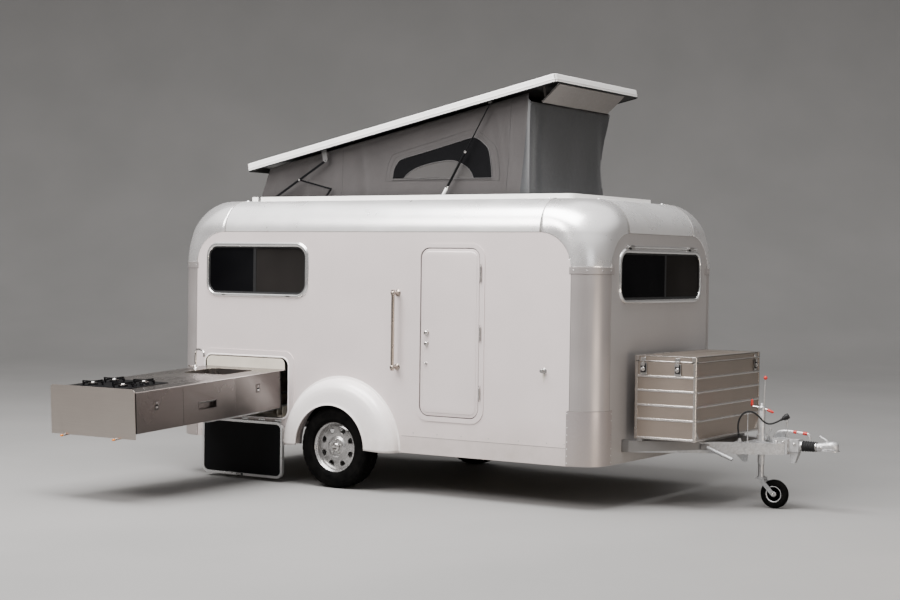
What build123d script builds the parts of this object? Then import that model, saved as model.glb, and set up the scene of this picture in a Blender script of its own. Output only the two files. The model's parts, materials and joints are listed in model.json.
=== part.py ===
from build123d import *
import os
import math

os.makedirs("parts", exist_ok=True)

# ---------------------------------------------------------------------------
# Compact pop-top camping trailer, aluminium skin, one axle.
# Modelling frame (mm): x = 0 at the axle, +X to the coupling, y = 0 on the
# centreline, +Y to the left of the road, z = 0 on the ground.
# Written frame: the same axes, moved so that the origin is the centre of the
# coupling ball.
# ---------------------------------------------------------------------------
BALL_X, BALL_Z = 3385.0, 440.0      # centre of the coupling ball

# body shell
HALF_W = 978.0                      # side plane
X_REAR, X_FRONT = -1555.0, 2107.0   # rear and front planes
Z_BOT, Z_TOP = 296.0, 2100.0        # lower edge of the skin, roof top
R_POST, R_ROLL = 199.5, 199.0       # vertical corners, roof rolls
WALL, ROOF = 32.0, 40.0             # wall and roof thickness
Z_SEAM = 1865.0                     # top of the flat panels
Z_STRAP = 1616.0                    # top of the corner posts
R_PANEL = 245.0                     # rounded top corners of the flat panels
SIDE_X = (-1356.0, 1908.0)          # flat side panel
END_Y = 779.0                       # half width of the flat end panels
ROLL_X = (-1081.0, 1663.0)          # seams across the side rolls
ROLL_Y = 516.0                      # seams across the end rolls
DECK_Y = 740.0
DECK_X = (X_REAR + 237.0, X_FRONT - 237.0)

# openings in the skin
WIN_X, WIN_Z, WIN_R = (-1250.0, -300.0), (1386.0, 1761.0), 90.0     # side window hole
EWIN_Y, EWIN_Z = 650.0, (1398.0, 1742.0)                             # end window hole
DOOR_X, DOOR_Z, DOOR_R = (700.0, 1205.0), (560.0, 1760.0), 78.0      # door hole
HATCH_X, HATCH_Z, HATCH_R = (-1264.0, -458.0), (472.0, 928.0), 66.0  # kitchen hatch hole

# running gear
TYRE_R, TYRE_W, RIM_R = 298.0, 178.0, 184.0
WHEEL_Y = 948.0                     # middle plane of each tyre
ARCH_R = 352.0                      # cut in the side skin
ARM_X = 170.0                       # axle tube ahead of the stub axle
FLOOR_Z = (457.0, 487.0)
RAIL_Z = (377.0, 455.0)             # chassis rails

# pop-up roof, angles in degrees
PIVOT = dict(x=-1085.0, z=2031.0)   # rear arm pivot on the roof tray
ARM_TIP = dict(x=-416.0, z=2412.0)  # arm tip on the roof panel, roof up
MID = 0.62                          # brace pin along the arm
PITCH = 11.9                        # slope of the raised panel
PANEL_W, PANEL_L, LIP_H, LIP_T = 645.0, 2796.0, 56.0, 10.0
PANEL_REAR = dict(x=-1160.0, z=2395.0)   # rear top edge, roof up
LEDGE_Z = (1998.0, 2011.0)
COAM_Y = (618.0, 628.0)
COAM_X = (-1128.0, 1722.0)
COAM_Z = 2139.0
TENT_Y, TENT_X = 566.0, (-1086.0, 1374.0)
TENT_WING = 612.0                   # half width of the front face
Y_CRANK, Y_LINK, Y_ARM, Y_BRKT = 585.0, 593.0, 601.0, 609.0
BAR_T = 5.4                         # thickness of the flat bars
STRUT_LOW = dict(x=579.0, z=2036.0)
STRUT_TOP = dict(x=1035.0, z=2799.0)
STRUT_Y = 598.0

# slide-out kitchen, set in its own level frame and then tipped by DROOP about
# the wall line y = -HALF_W, z = KIT_PIV_Z
DROOP = 2.9
KIT_PIV_Z = 700.0
KIT_X = (-1246.0, -483.0)
KIT_Y = (-2604.0, -972.0)
KIT_Z = (561.0, 838.0)
KIT_T = 12.0
TRAVEL = 1700.0
BEAM_X = (-1130.0, -612.0)
FLAP_AXIS = dict(y=-984.0, z=464.0)

# storage box and drawbar
BOX_X, BOX_Y, BOX_Z, LID_Z = (2186.0, 2630.0), 548.0, (472.0, 996.0), 1036.0
TUBE = 440.0                        # height of the drawbar axis
JOCKEY = dict(x=2879.0, y=0.0, wheel_x=2981.0, r=99.0)


def box(x0, x1, y0, y1, z0, z1):
    return Pos((x0 + x1) / 2, (y0 + y1) / 2, (z0 + z1) / 2) * Box(x1 - x0, y1 - y0, z1 - z0)


def plate_y(x0, x1, z0, z1, r, y0, y1):
    """Rounded rectangle in XZ, from y0 to y1."""
    pl = Plane(origin=((x0 + x1) / 2, y1, (z0 + z1) / 2), x_dir=(1, 0, 0), z_dir=(0, -1, 0))
    return extrude(pl * RectangleRounded(x1 - x0, z1 - z0, r), y1 - y0)


def plate_x(y0, y1, z0, z1, r, x0, x1):
    """Rounded rectangle in YZ, from x0 to x1."""
    pl = Plane(origin=(x0, (y0 + y1) / 2, (z0 + z1) / 2), x_dir=(0, 1, 0), z_dir=(1, 0, 0))
    return extrude(pl * RectangleRounded(y1 - y0, z1 - z0, r), x1 - x0)


def plate_z(x0, x1, y0, y1, r, z0, z1):
    pl = Plane(origin=((x0 + x1) / 2, (y0 + y1) / 2, z0), x_dir=(1, 0, 0), z_dir=(0, 0, 1))
    return extrude(pl * RectangleRounded(x1 - x0, y1 - y0, r), z1 - z0)


def poly_y(pts, y0, y1):
    """Polygon of (x, z) points, from y0 to y1."""
    pl = Plane(origin=(0, y1, 0), x_dir=(1, 0, 0), z_dir=(0, -1, 0))
    return extrude(pl * make_face(Polyline(*[(a, b) for a, b in pts], close=True).edges()), y1 - y0)


def poly_z(pts, z0, z1):
    """Polygon of (x, y) points, from z0 to z1."""
    pl = Plane(origin=(0, 0, z0), x_dir=(1, 0, 0), z_dir=(0, 0, 1))
    return extrude(pl * make_face(Polyline(*[(a, b) for a, b in pts], close=True).edges()), z1 - z0)


def poly_x(pts, x0, x1):
    """Polygon of (y, z) points, from x0 to x1."""
    pl = Plane(origin=(x0, 0, 0), x_dir=(0, 1, 0), z_dir=(1, 0, 0))
    return extrude(pl * make_face(Polyline(*[(a, b) for a, b in pts], close=True).edges()), x1 - x0)


def rod(a, b, r):
    """Round bar from point a to point b."""
    va, vb = Vector(*a), Vector(*b)
    return extrude(Plane(origin=va, z_dir=(vb - va).normalized()) * Circle(r), (vb - va).length)


def bar_y(a, b, w, y0, y1, eye=0.0):
    """Flat bar with round ends between (x, z) points a and b, with optional eyes."""
    dx, dz = b[0] - a[0], b[1] - a[1]
    ln = math.hypot(dx, dz)
    nx, nz = -dz / ln * w / 2, dx / ln * w / 2
    s = poly_y([(a[0] + nx, a[1] + nz), (b[0] + nx, b[1] + nz), (b[0] - nx, b[1] - nz), (a[0] - nx, a[1] - nz)], y0, y1)
    for p in (a, b):
        s = s + rod((p[0], y0, p[1]), (p[0], y1, p[1]), w / 2)
    if eye:
        for p in (a, b):
            s = s - rod((p[0], y0 - 1, p[1]), (p[0], y1 + 1, p[1]), eye)
    return s


def both(s):
    """The piece and its mirror image across the centreline."""
    return Compound(children=[s, mirror(s, about=Plane.XZ)])


def solids_of(s):
    return list(s.solids())


def put(name, *shapes, tip=False):
    sol = []
    for s in shapes:
        sol += solids_of(s)
    c = Compound(children=sol) if len(sol) > 1 else sol[0]
    if tip:
        c = tip_out(c)
    c = Pos(-BALL_X, 0, -BALL_Z) * c
    export_step(c, f"parts/{name}.step")


def tip_out(c):
    """Tips a kitchen piece outwards by DROOP about the wall line."""
    ax = Axis((0, -HALF_W, KIT_PIV_Z), (1, 0, 0))
    return c.rotate(ax, DROOP)


# ---------------------------------------------------------------------------
# shell: one hollow body, cut where the real panels meet
# ---------------------------------------------------------------------------
def rounded_body(m, top):
    """Body block shrunk by m on the sides and with its top at `top`."""
    b = box(X_REAR + m, X_FRONT - m, -HALF_W + m, HALF_W - m, Z_BOT, top)
    b = fillet(b.edges().filter_by(Axis.Z), R_POST - m)
    return fillet(b.faces().sort_by(Axis.Z)[-1].edges(), R_ROLL - m)


outer = rounded_body(0, Z_TOP)
inner = rounded_body(WALL, Z_TOP - ROOF)
shell = outer - inner

ARCH = rod((0, -1100, TYRE_R), (0, 1100, TYRE_R), ARCH_R) + box(-ARCH_R, ARCH_R, -1100, 1100, 0, TYRE_R)


def flat_side(y0, y1):
    p = plate_y(SIDE_X[0], SIDE_X[1], Z_BOT - 400, Z_SEAM, R_PANEL, y0, y1)
    return p


def flat_end(x0, x1):
    return plate_x(-END_Y, END_Y, Z_BOT - 400, Z_SEAM, R_PANEL, x0, x1)


deck_zone = plate_z(DECK_X[0], DECK_X[1], -DECK_Y, DECK_Y, 245, Z_TOP - 90, Z_TOP + 50)
side_r_zone = flat_side(-HALF_W - 50, -HALF_W + WALL + 0.001)
side_l_zone = flat_side(HALF_W - WALL - 0.001, HALF_W + 50)
front_zone = flat_end(X_FRONT - WALL - 0.001, X_FRONT + 50)
rear_zone = flat_end(X_REAR - 50, X_REAR + WALL + 0.001)

side_r = (shell & side_r_zone) - ARCH
side_l = (shell & side_l_zone) - ARCH
front = shell & front_zone
rear = shell & rear_zone
deck = shell & deck_zone

for sx in (WIN_X,):
    side_r = side_r - plate_y(sx[0], sx[1], WIN_Z[0], WIN_Z[1], WIN_R, -HALF_W - 10, -HALF_W + 60)
    side_l = side_l - plate_y(sx[0], sx[1], WIN_Z[0], WIN_Z[1], WIN_R, HALF_W - 60, HALF_W + 10)
side_l = side_l - plate_y(620, 1570, WIN_Z[0], WIN_Z[1], WIN_R, HALF_W - 60, HALF_W + 10)
side_r = side_r - plate_y(DOOR_X[0], DOOR_X[1], DOOR_Z[0], DOOR_Z[1], DOOR_R, -HALF_W - 10, -HALF_W + 60)
side_r = side_r - plate_y(HATCH_X[0], HATCH_X[1], HATCH_Z[0], HATCH_Z[1], HATCH_R, -HALF_W - 10, -HALF_W + 60)
front = front - plate_x(-EWIN_Y, EWIN_Y, EWIN_Z[0], EWIN_Z[1], WIN_R, X_FRONT - 60, X_FRONT + 10)
rear = rear - plate_x(-EWIN_Y, EWIN_Y, EWIN_Z[0], EWIN_Z[1], WIN_R, X_REAR - 10, X_REAR + 60)
# the chassis rails pass through the lower edge of the front wall
for s in (-1, 1):
    front = front - box(X_FRONT - 60, X_FRONT + 10, s * 560 - 30, s * 560 + 30, RAIL_Z[0] - 4, RAIL_Z[1] + 4)

rest = shell - side_r_zone - side_l_zone - front_zone - rear_zone - deck_zone
rolls, corners, posts = [], [], []
for s in (-1, 1):
    y0, y1 = (s * 600, s * 1100) if s > 0 else (s * 1100, s * 600)
    rolls.append(rest & box(ROLL_X[0], ROLL_X[1], y0, y1, Z_SEAM, Z_TOP + 10))
for x0, x1 in ((X_REAR - 10, DECK_X[0] + 60), (DECK_X[1] - 60, X_FRONT + 10)):
    rolls.append(rest & box(x0, x1, -ROLL_Y, ROLL_Y, Z_SEAM, Z_TOP + 10))
for s in (-1, 1):
    for x0, x1, xs in ((X_REAR - 10, ROLL_X[0], -1), (ROLL_X[1], X_FRONT + 10, 1)):
        y0, y1 = (ROLL_Y, 1100) if s > 0 else (-1100, -ROLL_Y)
        corners.append(rest & box(x0, x1, y0, y1, Z_STRAP, Z_TOP + 10))
        posts.append(rest & box(x0, x1, y0, y1, Z_BOT - 10, Z_STRAP))

put("side_panel_right", side_r)
put("side_panel_left", side_l)
put("front_wall", front)
put("rear_wall", rear)
put("roof_rolls", *rolls)
put("roof_corners", *corners)
put("corner_posts", *posts)
deck = deck - plate_z(COAM_X[0] - 1, COAM_X[1] + 1, -COAM_Y[1] - 1, COAM_Y[1] + 1, 41, Z_TOP - 100, Z_TOP + 60)
put("roof_deck", deck)

# ---------------------------------------------------------------------------
# floor, wheel boxes, chassis, axle
# ---------------------------------------------------------------------------
WBOX = dict(x=(-352.0, 352.0), y=700.0, z=700.0, t=8.0)   # inner wheel box
fl = box(X_REAR + WALL + 2, X_FRONT - WALL - 2, -HALF_W + WALL + 2, HALF_W - WALL - 2, *FLOOR_Z)
fl = fillet(fl.edges().filter_by(Axis.Z), R_POST - WALL - 1)
for s in (-1, 1):
    y0, y1 = sorted((s * (WBOX["y"] - 2), s * 1000))
    fl = fl - box(WBOX["x"][0] - WBOX["t"] - 2, WBOX["x"][1] + WBOX["t"] + 2, y0, y1, 400, 500)
# the kitchen bay stands in a cut-out of the floor
fl = fl - box(HATCH_X[0] - 16, HATCH_X[1] + 16, -1000, 840, 430, 500)
put("floor_panel", fl)

wbs = []
for s in (-1, 1):
    y0, y1 = sorted((s * WBOX["y"], s * (HALF_W - WALL - 1)))
    o = box(WBOX["x"][0] - WBOX["t"], WBOX["x"][1] + WBOX["t"], y0, y1, FLOOR_Z[0] + 2, WBOX["z"])
    yi0, yi1 = sorted((s * (WBOX["y"] + WBOX["t"]), s * (HALF_W)))
    wbs.append(o - box(WBOX["x"][0], WBOX["x"][1], yi0, yi1, FLOOR_Z[0] - 10, WBOX["z"] - WBOX["t"]))
put("wheel_boxes", *wbs)

# chassis: table of straight members: x0, y0, x1, y1 (mid lines), width
MEMBERS = [
    (X_REAR + 60, 560, 2150, 560),
    (2150, 560, 3060, 42),
]
RW = 45.0
rail = None
for x0, y0, x1, y1 in MEMBERS:
    dx, dy = x1 - x0, y1 - y0
    ln = math.hypot(dx, dy)
    nx, ny = -dy / ln * RW / 2, dx / ln * RW / 2
    p = poly_z([(x0 + nx, y0 + ny), (x1 + nx, y1 + ny), (x1 - nx, y1 - ny), (x0 - nx, y0 - ny)], *RAIL_Z)
    rail = p if rail is None else rail + p
rail = rail + rod((2150, 560, RAIL_Z[0]), (2150, 560, RAIL_Z[1]), RW / 2)
rails = rail + mirror(rail, about=Plane.XZ)
for cx in (-1480, -430, 420, 1300, 2040):          # cross members
    rails = rails + box(cx - 22, cx + 22, -560, 560, RAIL_Z[0] + 8, RAIL_Z[1])
for cx in (2225, 2590):                             # bearers under the storage box
    h = 560 - (cx - 2150) * (560 - 42) / 910
    rails = rails + box(cx - 20, cx + 20, -h - 40, h + 40, RAIL_Z[1] - 2, BOX_Z[0])
jx = JOCKEY["x"]
for z0, z1 in ((RAIL_Z[0], RAIL_Z[0] + 6), (RAIL_Z[1] - 6, RAIL_Z[1])):   # gussets that join the rails at the jockey
    rails = rails + poly_z([(2800, 178), (2960, 86), (3064, 30), (3064, -30), (2960, -86), (2800, -178)], z0, z1)
rails = rails - rod((jx, 0, 300), (jx, 0, 500), 25)
rails = rails + poly_y([(2748, RAIL_Z[0] + 2), (2846, RAIL_Z[0] + 2), (2838, 322), (2806, 322)], -152, -146)
# swing-out manoeuvring handles bolted below the front corners of the box
for s in (-1, 1):
    rails = rails + rod((2600, s * 342, 430), (2812, s * 342, 352), 13)
    rails = rails + box(2588, 2630, *sorted((s * 262, s * 356)), 404, 440)
put("chassis_frame", rails)

axle = box(ARM_X - 50, ARM_X + 50, -640, 640, 280, RAIL_Z[0])
axle = axle - box(ARM_X - 44, ARM_X + 44, -700, 700, 286, RAIL_Z[0] - 6)
for s in (-1, 1):
    axle = axle + box(ARM_X - 90, ARM_X + 90, *sorted((s * 530, s * 592)), RAIL_Z[0] - 12, RAIL_Z[0])
put("axle_beam", axle)
arms = []
for s in (-1, 1):
    y0, y1 = sorted((s * 642, s * 682))
    a = bar_y((0, TYRE_R), (ARM_X, 328), 84, y0, y1)
    a = a + rod((0, s * 680, TYRE_R), (0, s * 846, TYRE_R), 24)
    a = a + rod((0, s * 682, TYRE_R), (0, s * 712, TYRE_R), 92)
    arms.append(a)
put("axle_arms", *arms)

# ---------------------------------------------------------------------------
# mudguards: swept arch standing out of the side skin
# ---------------------------------------------------------------------------
FCX, FR = 30.0, 505.0               # outer arch: centre and radius on the skin
FIX, FIR = -12.0, 306.0             # wheel opening of the mudguard
# section of the mudguard: stand-off from the skin, drop from FR
FEND_SEC = [(0.0, 0.0), (22.0, 3.0), (50.0, 14.0), (74.0, 34.0), (90.0, 62.0), (96.0, 98.0)]
FEND_T = 7.0
fends = []


def half_ring(pts, s):
    """Section of (stand-off, radius) points turned half a turn over the wheel."""
    pl = Plane(origin=(FCX, s * HALF_W, TYRE_R - 6), x_dir=(1, 0, 0), z_dir=(0, 0, 1))
    sec = pl * make_face(Polyline(*[(r, s * d) for d, r in pts], close=True).edges())
    f = revolve(sec, Axis((FCX, 0, TYRE_R - 6), (0, 1, 0)), 180)
    if f.bounding_box().max.Z < TYRE_R + 50:
        f = revolve(sec, Axis((FCX, 0, TYRE_R - 6), (0, 1, 0)), -180)
    return f


for s in (-1, 1):
    out = [(d, FR - k) for d, k in FEND_SEC] + [(96.0, 250.0), (0.0, 250.0)]
    inn = [(d - 1.0 if d == 0 else d - FEND_T * 0.5 * (d / 96.0) - FEND_T * 0.5 * (d / 96.0), FR - k - FEND_T) for d, k in FEND_SEC] + [(96.0 - FEND_T, 240.0), (-1.0, 240.0)]
    f = half_ring(out, s) - half_ring(inn, s)
    f = f - rod((FIX, s * 900, TYRE_R), (FIX, s * 1150, TYRE_R), FIR) - box(FIX - FIR, FIX + FIR, *sorted((s * 900, s * 1150)), 200, TYRE_R)
    fends.append(f)
put("fenders", *fends)

# ---------------------------------------------------------------------------
# road wheels
# ---------------------------------------------------------------------------
for name, s in (("right", -1), ("left", 1)):
    y0, y1 = sorted((s * (WHEEL_Y - TYRE_W / 2), s * (WHEEL_Y + TYRE_W / 2)))
    t = rod((0, y0, TYRE_R), (0, y1, TYRE_R), TYRE_R)
    t = fillet(t.edges().filter_by(GeomType.CIRCLE), 34)
    t = t - rod((0, y0 - 1, TYRE_R), (0, y1 + 1, TYRE_R), RIM_R)
    put(f"tyre_{name}", t)
    yo = s * (WHEEL_Y + 68)                     # outer lip
    yi = s * (WHEEL_Y - 70)
    r = rod((0, yo, TYRE_R), (0, yi, TYRE_R), RIM_R)
    r = r - rod((0, s * (WHEEL_Y - 90), TYRE_R), (0, s * (WHEEL_Y + 26), TYRE_R), RIM_R - 12)
    r = r - rod((0, s * (WHEEL_Y + 36), TYRE_R), (0, s * (WHEEL_Y + 90), TYRE_R), RIM_R - 14)
    for k in range(8):                          # hand holes
        a = math.radians(k * 45 + 22.5)
        cx, cz = 122 * math.cos(a), TYRE_R + 122 * math.sin(a)
        r = r - rod((cx, s * (WHEEL_Y + 10), cz), (cx, s * (WHEEL_Y + 50), cz), 21)
    r = r + rod((0, s * (WHEEL_Y + 26), TYRE_R), (0, s * (WHEEL_Y + 52), TYRE_R), 62)
    r = r + rod((0, s * (WHEEL_Y + 50), TYRE_R), (0, s * (WHEEL_Y + 66), TYRE_R), 32)
    # brake drum and hub on the stub axle
    r = r + (rod((0, s * 718, TYRE_R), (0, s * 860, TYRE_R), 118) - rod((0, s * 700, TYRE_R), (0, s * 846, TYRE_R), 108))
    r = r + rod((0, s * 790, TYRE_R), (0, s * (WHEEL_Y + 30), TYRE_R), 40) + rod((0, s * 852, TYRE_R), (0, s * 860, TYRE_R), 118)
    r = r + rod((0, s * 856, TYRE_R), (0, s * (WHEEL_Y + 27), TYRE_R), 66)
    r = r - rod((0, s * 700, TYRE_R), (0, s * 848, TYRE_R), 24.05)
    put(f"rim_{name}", r)

# ---------------------------------------------------------------------------
# windows
# ---------------------------------------------------------------------------
frames, panes = [], []
SIDE_WINS = [(-1, WIN_X), (1, WIN_X), (1, (620.0, 1570.0))]
FW = 24.0        # visible width of the frame
for s, (a, b) in SIDE_WINS:
    y0, y1 = sorted((s * (HALF_W - WALL - 4), s * (HALF_W + 8)))
    o = plate_y(a - 12, b + 12, WIN_Z[0] - 14, WIN_Z[1] + 20, WIN_R + 12, *sorted((s * HALF_W, s * (HALF_W + 8))))
    m = plate_y(a + .5, b - .5, WIN_Z[0] + .5, WIN_Z[1] - .5, WIN_R, y0, y1)
    c = plate_y(a + 13, b - 17, WIN_Z[0] + 14, WIN_Z[1] - 14, WIN_R - 12, y0 - 20, y1 + 20)
    frames.append((o + m) - c)
    panes.append(plate_y(a + 13, b - 17, WIN_Z[0] + 14, WIN_Z[1] - 14, WIN_R - 12, *sorted((s * (HALF_W - 10), s * (HALF_W - 4)))))
for xs, x in ((1, X_FRONT), (-1, X_REAR)):
    x0, x1 = sorted((x - xs * (WALL + 4), x + xs * 8))
    o = plate_x(-EWIN_Y - 14, EWIN_Y + 14, EWIN_Z[0] - 14, EWIN_Z[1] + 20, WIN_R + 12, *sorted((x, x + xs * 8)))
    m = plate_x(-EWIN_Y + .5, EWIN_Y - .5, EWIN_Z[0] + .5, EWIN_Z[1] - .5, WIN_R, x0, x1)
    c = plate_x(-EWIN_Y + 12, EWIN_Y - 12, EWIN_Z[0] + 14, EWIN_Z[1] - 14, WIN_R - 12, x0 - 20, x1 + 20)
    frames.append((o + m) - c)
    panes.append(plate_x(-EWIN_Y + 12, EWIN_Y - 12, EWIN_Z[0] + 14, EWIN_Z[1] - 14, WIN_R - 12, *sorted((x - xs * 10, x - xs * 4))))
put("window_frames", *frames)
put("window_glass", *panes)

# ---------------------------------------------------------------------------
# entrance door
# ---------------------------------------------------------------------------
dx0, dx1, dz0, dz1 = DOOR_X[0], DOOR_X[1], DOOR_Z[0], DOOR_Z[1]
ds = -HALF_W
df = plate_y(dx0 - 24, dx1 + 32, dz0 - 26, dz1 + 22, DOOR_R + 24, ds - 5, ds) + \
    plate_y(dx0 + .5, dx1 - .5, dz0 + .5, dz1 - .5, DOOR_R, ds, ds + WALL)
df = df - plate_y(dx0 + 7, dx1 - 7, dz0 + 7, dz1 - 7, DOOR_R - 7, ds - 20, ds + 60)
df = df - box(dx1 - 22, dx1 + 12, ds - 8, ds + 1, 690, 800) - box(dx1 - 22, dx1 + 12, ds - 8, ds + 1, 1100, 1220) - box(dx1 - 22, dx1 + 12, ds - 8, ds + 1, 1506, 1640)
put("door_frame", df)
leaf = plate_y(dx0 + 13, dx1 - 13, dz0 + 13, dz1 - 13, DOOR_R - 12, ds, ds + WALL - 2)
put("door_leaf", leaf)
HINGE_X, HINGE_Y = dx1 + 2.0, ds - 12.0
fur = []
for z0, z1 in ((703, 787), (1111, 1208), (1518, 1628)):       # hinges
    h = rod((HINGE_X, HINGE_Y, z0), (HINGE_X, HINGE_Y, z1), 7)
    h = h + box(dx1 - 48, HINGE_X, ds - 6, ds, z0 + 6, z1 - 6)
    h = h + box(HINGE_X - 7, HINGE_X, HINGE_Y, ds - 0.0, z0 + 6, z1 - 6)
    fur.append(h)
for z, r, d in ((1154, 17, 22), (1077, 15, 20), (940, 9, 12)):  # lock, knob and small latch
    fur.append(rod((765, ds - 5, z), (765, ds, z), r + 6) + rod((765, ds - d - 5, z), (765, ds - 5, z), r))
put("door_furniture", *fur)

gh = rod((514, ds - 62, 878), (514, ds - 62, 1453), 15)
for z in (902, 1429):
    gh = gh + rod((514, ds - 62, z), (514, ds, z), 11) + rod((514, ds - 6, z), (514, ds, z), 24)
put("grab_handle", gh)
ck = rod((1712, ds - 30, 929), (1712, ds, 929), 7) + rod((1712, ds - 40, 929), (1712, ds - 26, 929), 15) + rod((1712, ds - 5, 929), (1712, ds, 929), 20)
put("door_retainer", ck)

# ---------------------------------------------------------------------------
# kitchen hatch: frame, bay, flap
# ---------------------------------------------------------------------------
hx0, hx1, hz0, hz1 = HATCH_X[0], HATCH_X[1], HATCH_Z[0], HATCH_Z[1]
hf = plate_y(hx0 - 26, hx1 + 52, hz0 - 1, hz1 + 46, HATCH_R + 24, ds - 5, ds) + \
    plate_y(hx0 + .5, hx1 - .5, hz0 + .5, hz1 - .5, HATCH_R, ds, ds + WALL)
hf = hf - plate_y(hx0 + 5, hx1 - 5, hz0 + 4.5, hz1 - 5, HATCH_R - 5, ds - 20, ds + 60)
hf = hf - rod((FCX, ds - 20, TYRE_R - 6), (FCX, ds + 0.001, TYRE_R - 6), FR + 1)     # relief around the mudguard
put("hatch_frame", hf)

bay = box(hx0 - 14, hx1 + 14, ds + WALL + 6, 800, hz0 - 12, 958) - \
    box(hx0 - 2, hx1 + 2, ds + WALL + 5, 788, hz0, 946)
BAY_IN = KIT_Y[0] + TRAVEL + 11.0      # just behind the end plate of the closed kitchen
for bx in BEAM_X:            # fixed channels on the floor of the bay
    bay = bay + box(bx - 28, bx + 28, BAY_IN, 780, hz0 - 6, hz0 + 10)
    for w in (-28, 21):
        bay = bay + box(bx + w, bx + w + 7, BAY_IN, 780, hz0 + 2, hz0 + 74)
bay = tip_out(bay)
bay = bay - box(-2000, 0, -1100, ds + WALL + 1, 0, 2000)
put("kitchen_bay", bay)

fa = (0.0, FLAP_AXIS["y"], FLAP_AXIS["z"])
hr = rod((hx0 + 30, fa[1], fa[2]), (hx1 - 30, fa[1], fa[2]), 2.2)
put("hatch_rod", hr)
# the flap hangs open: black lining outwards
fx0, fx1 = hx0 + 10, hx1 - 24
fz1, fz0 = fa[2] - 18.0, fa[2] - 18.0 - 420.0
FLAP_T = 27.0
fy1 = 2 * fa[1] - ds               # mirror image of the skin plane in the hinge axis
flap = plate_y(fx0, fx1, fz0, fz1, 56, fy1 - FLAP_T, fy1)
flap = flap - plate_y(fx0 + 18, fx1 - 18, fz0 + 18, fz1 - 18, 40, fy1 - FLAP_T - 1, fy1 - FLAP_T + 6)
for k in range(5):                 # knuckles around the hinge rod
    kx = hx0 + 90 + k * (hx1 - hx0 - 180) / 4
    leaf_k = rod((kx - 30, fa[1], fa[2]), (kx + 30, fa[1], fa[2]), 4.4)
    leaf_k = leaf_k + box(kx - 30, kx + 30, fa[1] + 0.8, fa[1] + 3.8, fz1 - 14, fa[2])
    leaf_k = leaf_k + box(kx - 30, kx + 30, fy1 - 1, fa[1] + 3.8, fz1 - 16, fz1 - 2)
    flap = flap + leaf_k
flap = flap - rod((hx0, fa[1], fa[2]), (hx1, fa[1], fa[2]), 2.25)
put("hatch_flap", flap)

# ---------------------------------------------------------------------------
# slide-out kitchen
# ---------------------------------------------------------------------------
kx0, kx1 = KIT_X
ky0, ky1 = KIT_Y
kz0, kz1 = KIT_Z
DIV = (-2130.0, -1573.0)     # joints between the front panels
DR_D = 420.0                 # drawer depth
car = box(kx0, kx1, ky0 + 6, ky1, kz0, kz1 - 3)
cf = car.edges().filter_by(Axis.Z).filter_by(lambda e: e.center().Y > ky1 - 5 and e.center().X > kx1 - 5)
car = fillet(cf, 90)
# hollow cells: x0, x1, y0, y1, z0, z1, open towards +X for the two drawers
car = car - plate_z(kx0 + 61, kx1 - 201, -2469, -2061, 14, kz1 - 41, kz1 + 4)
car = car - box(kx1 - DR_D - 12, kx1 + 1, ky0 + 24, DIV[0] - 4, kz0 + 12, kz1 - 54)
car = car - box(kx1 - DR_D - 12, kx1 + 1, DIV[0] + 4, DIV[1] - 4, kz0 + 12, kz1 - 22)
car = car - box(kx0 + 12, kx1 - DR_D - 24, ky0 + 24, DIV[1] - 4, kz0 + 12, kz1 - 54)
car = car - box(kx0 + 12, kx1 - 12, DIV[1] + 8, ky1 - 100, kz0 + 12, kz1 + 1)
board = plate_y(kx0 + 4, kx1 - 8, kz1 - 60, 917, 44, ky1 - 7.8, ky1 - 1)
board = board + box(kx0 + 4, kx1 - 8, ky1 - 7.8, ky1 - 1, kz1 - 60, kz1)
board = board - box(kx0 - 10, kx1 + 10, ky1 - 20, ky1 + 5, kz1 - 100, kz1 - 6)
car = car + board
put("kitchen_carcass", car, tip=True)

top = plate_z(kx0 - 2, kx1 + 2, ky0 + 6, ky1, 2, kz1 - 2.5, kz1 + 12)
top = box(kx0 - 2, kx1 + 3, ky0 + 6, ky1 - 8, kz1 - 2.5, kz1 + 2)
SINK = dict(x=(-1060.0, -640.0), y=(-1480.0, -1130.0), depth=150.0)
bowl = plate_z(SINK["x"][0], SINK["x"][1], SINK["y"][0], SINK["y"][1], 60, kz1 - SINK["depth"], kz1 + 2)
hol = plate_z(SINK["x"][0] + 2.5, SINK["x"][1] - 2.5, SINK["y"][0] + 2.5, SINK["y"][1] - 2.5, 57, kz1 - SINK["depth"] + 2.5, kz1 + 10)
top = top + bowl - hol
top = top - box(kx0 + 60, kx1 - 200, -2470, -2060, kz1 - 10, kz1 + 10)
put("worktop_and_sink", top, tip=True)

ep = plate_y(kx0 - 6, kx1 + 6, 524, 862, 26, ky0, ky0 + 5)
ep = ep + box(kx0 - 6, kx1 + 6, ky0, ky0 + 5, 524, 600)
for rx in (-1183.0 + 52, -667.0 + 16):     # lock rods of the runners
    ep = ep + rod((rx, ky0 - 34, 518), (rx, ky0 + 60, 518), 5) + box(rx - 7, rx + 7, ky0, ky0 + 5, 512, 530)
put("end_plate", ep, tip=True)

tp = rod((-1165, -1200, kz1 + 2), (-1165, -1200, kz1 + 26), 17)
sp_a, sp_b = (-1165, -1200, kz1 + 20), (-1165, -1200, kz1 + 92)
tp = tp + rod(sp_a, sp_b, 9)
pth = FilletPolyline((-1165, -1200, kz1 + 60), (-1165, -1200, kz1 + 146), (-1040, -1240, kz1 + 146), (-1040, -1240, kz1 + 100), radius=40)
tp = tp + sweep(Plane(origin=pth @ 0, z_dir=pth % 0) * Circle(8.5), path=pth)
tp = tp + rod((-1165, -1200, kz1 + 16), (-1165, -1272, kz1 + 22), 5)
put("tap", tp, tip=True)

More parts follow.
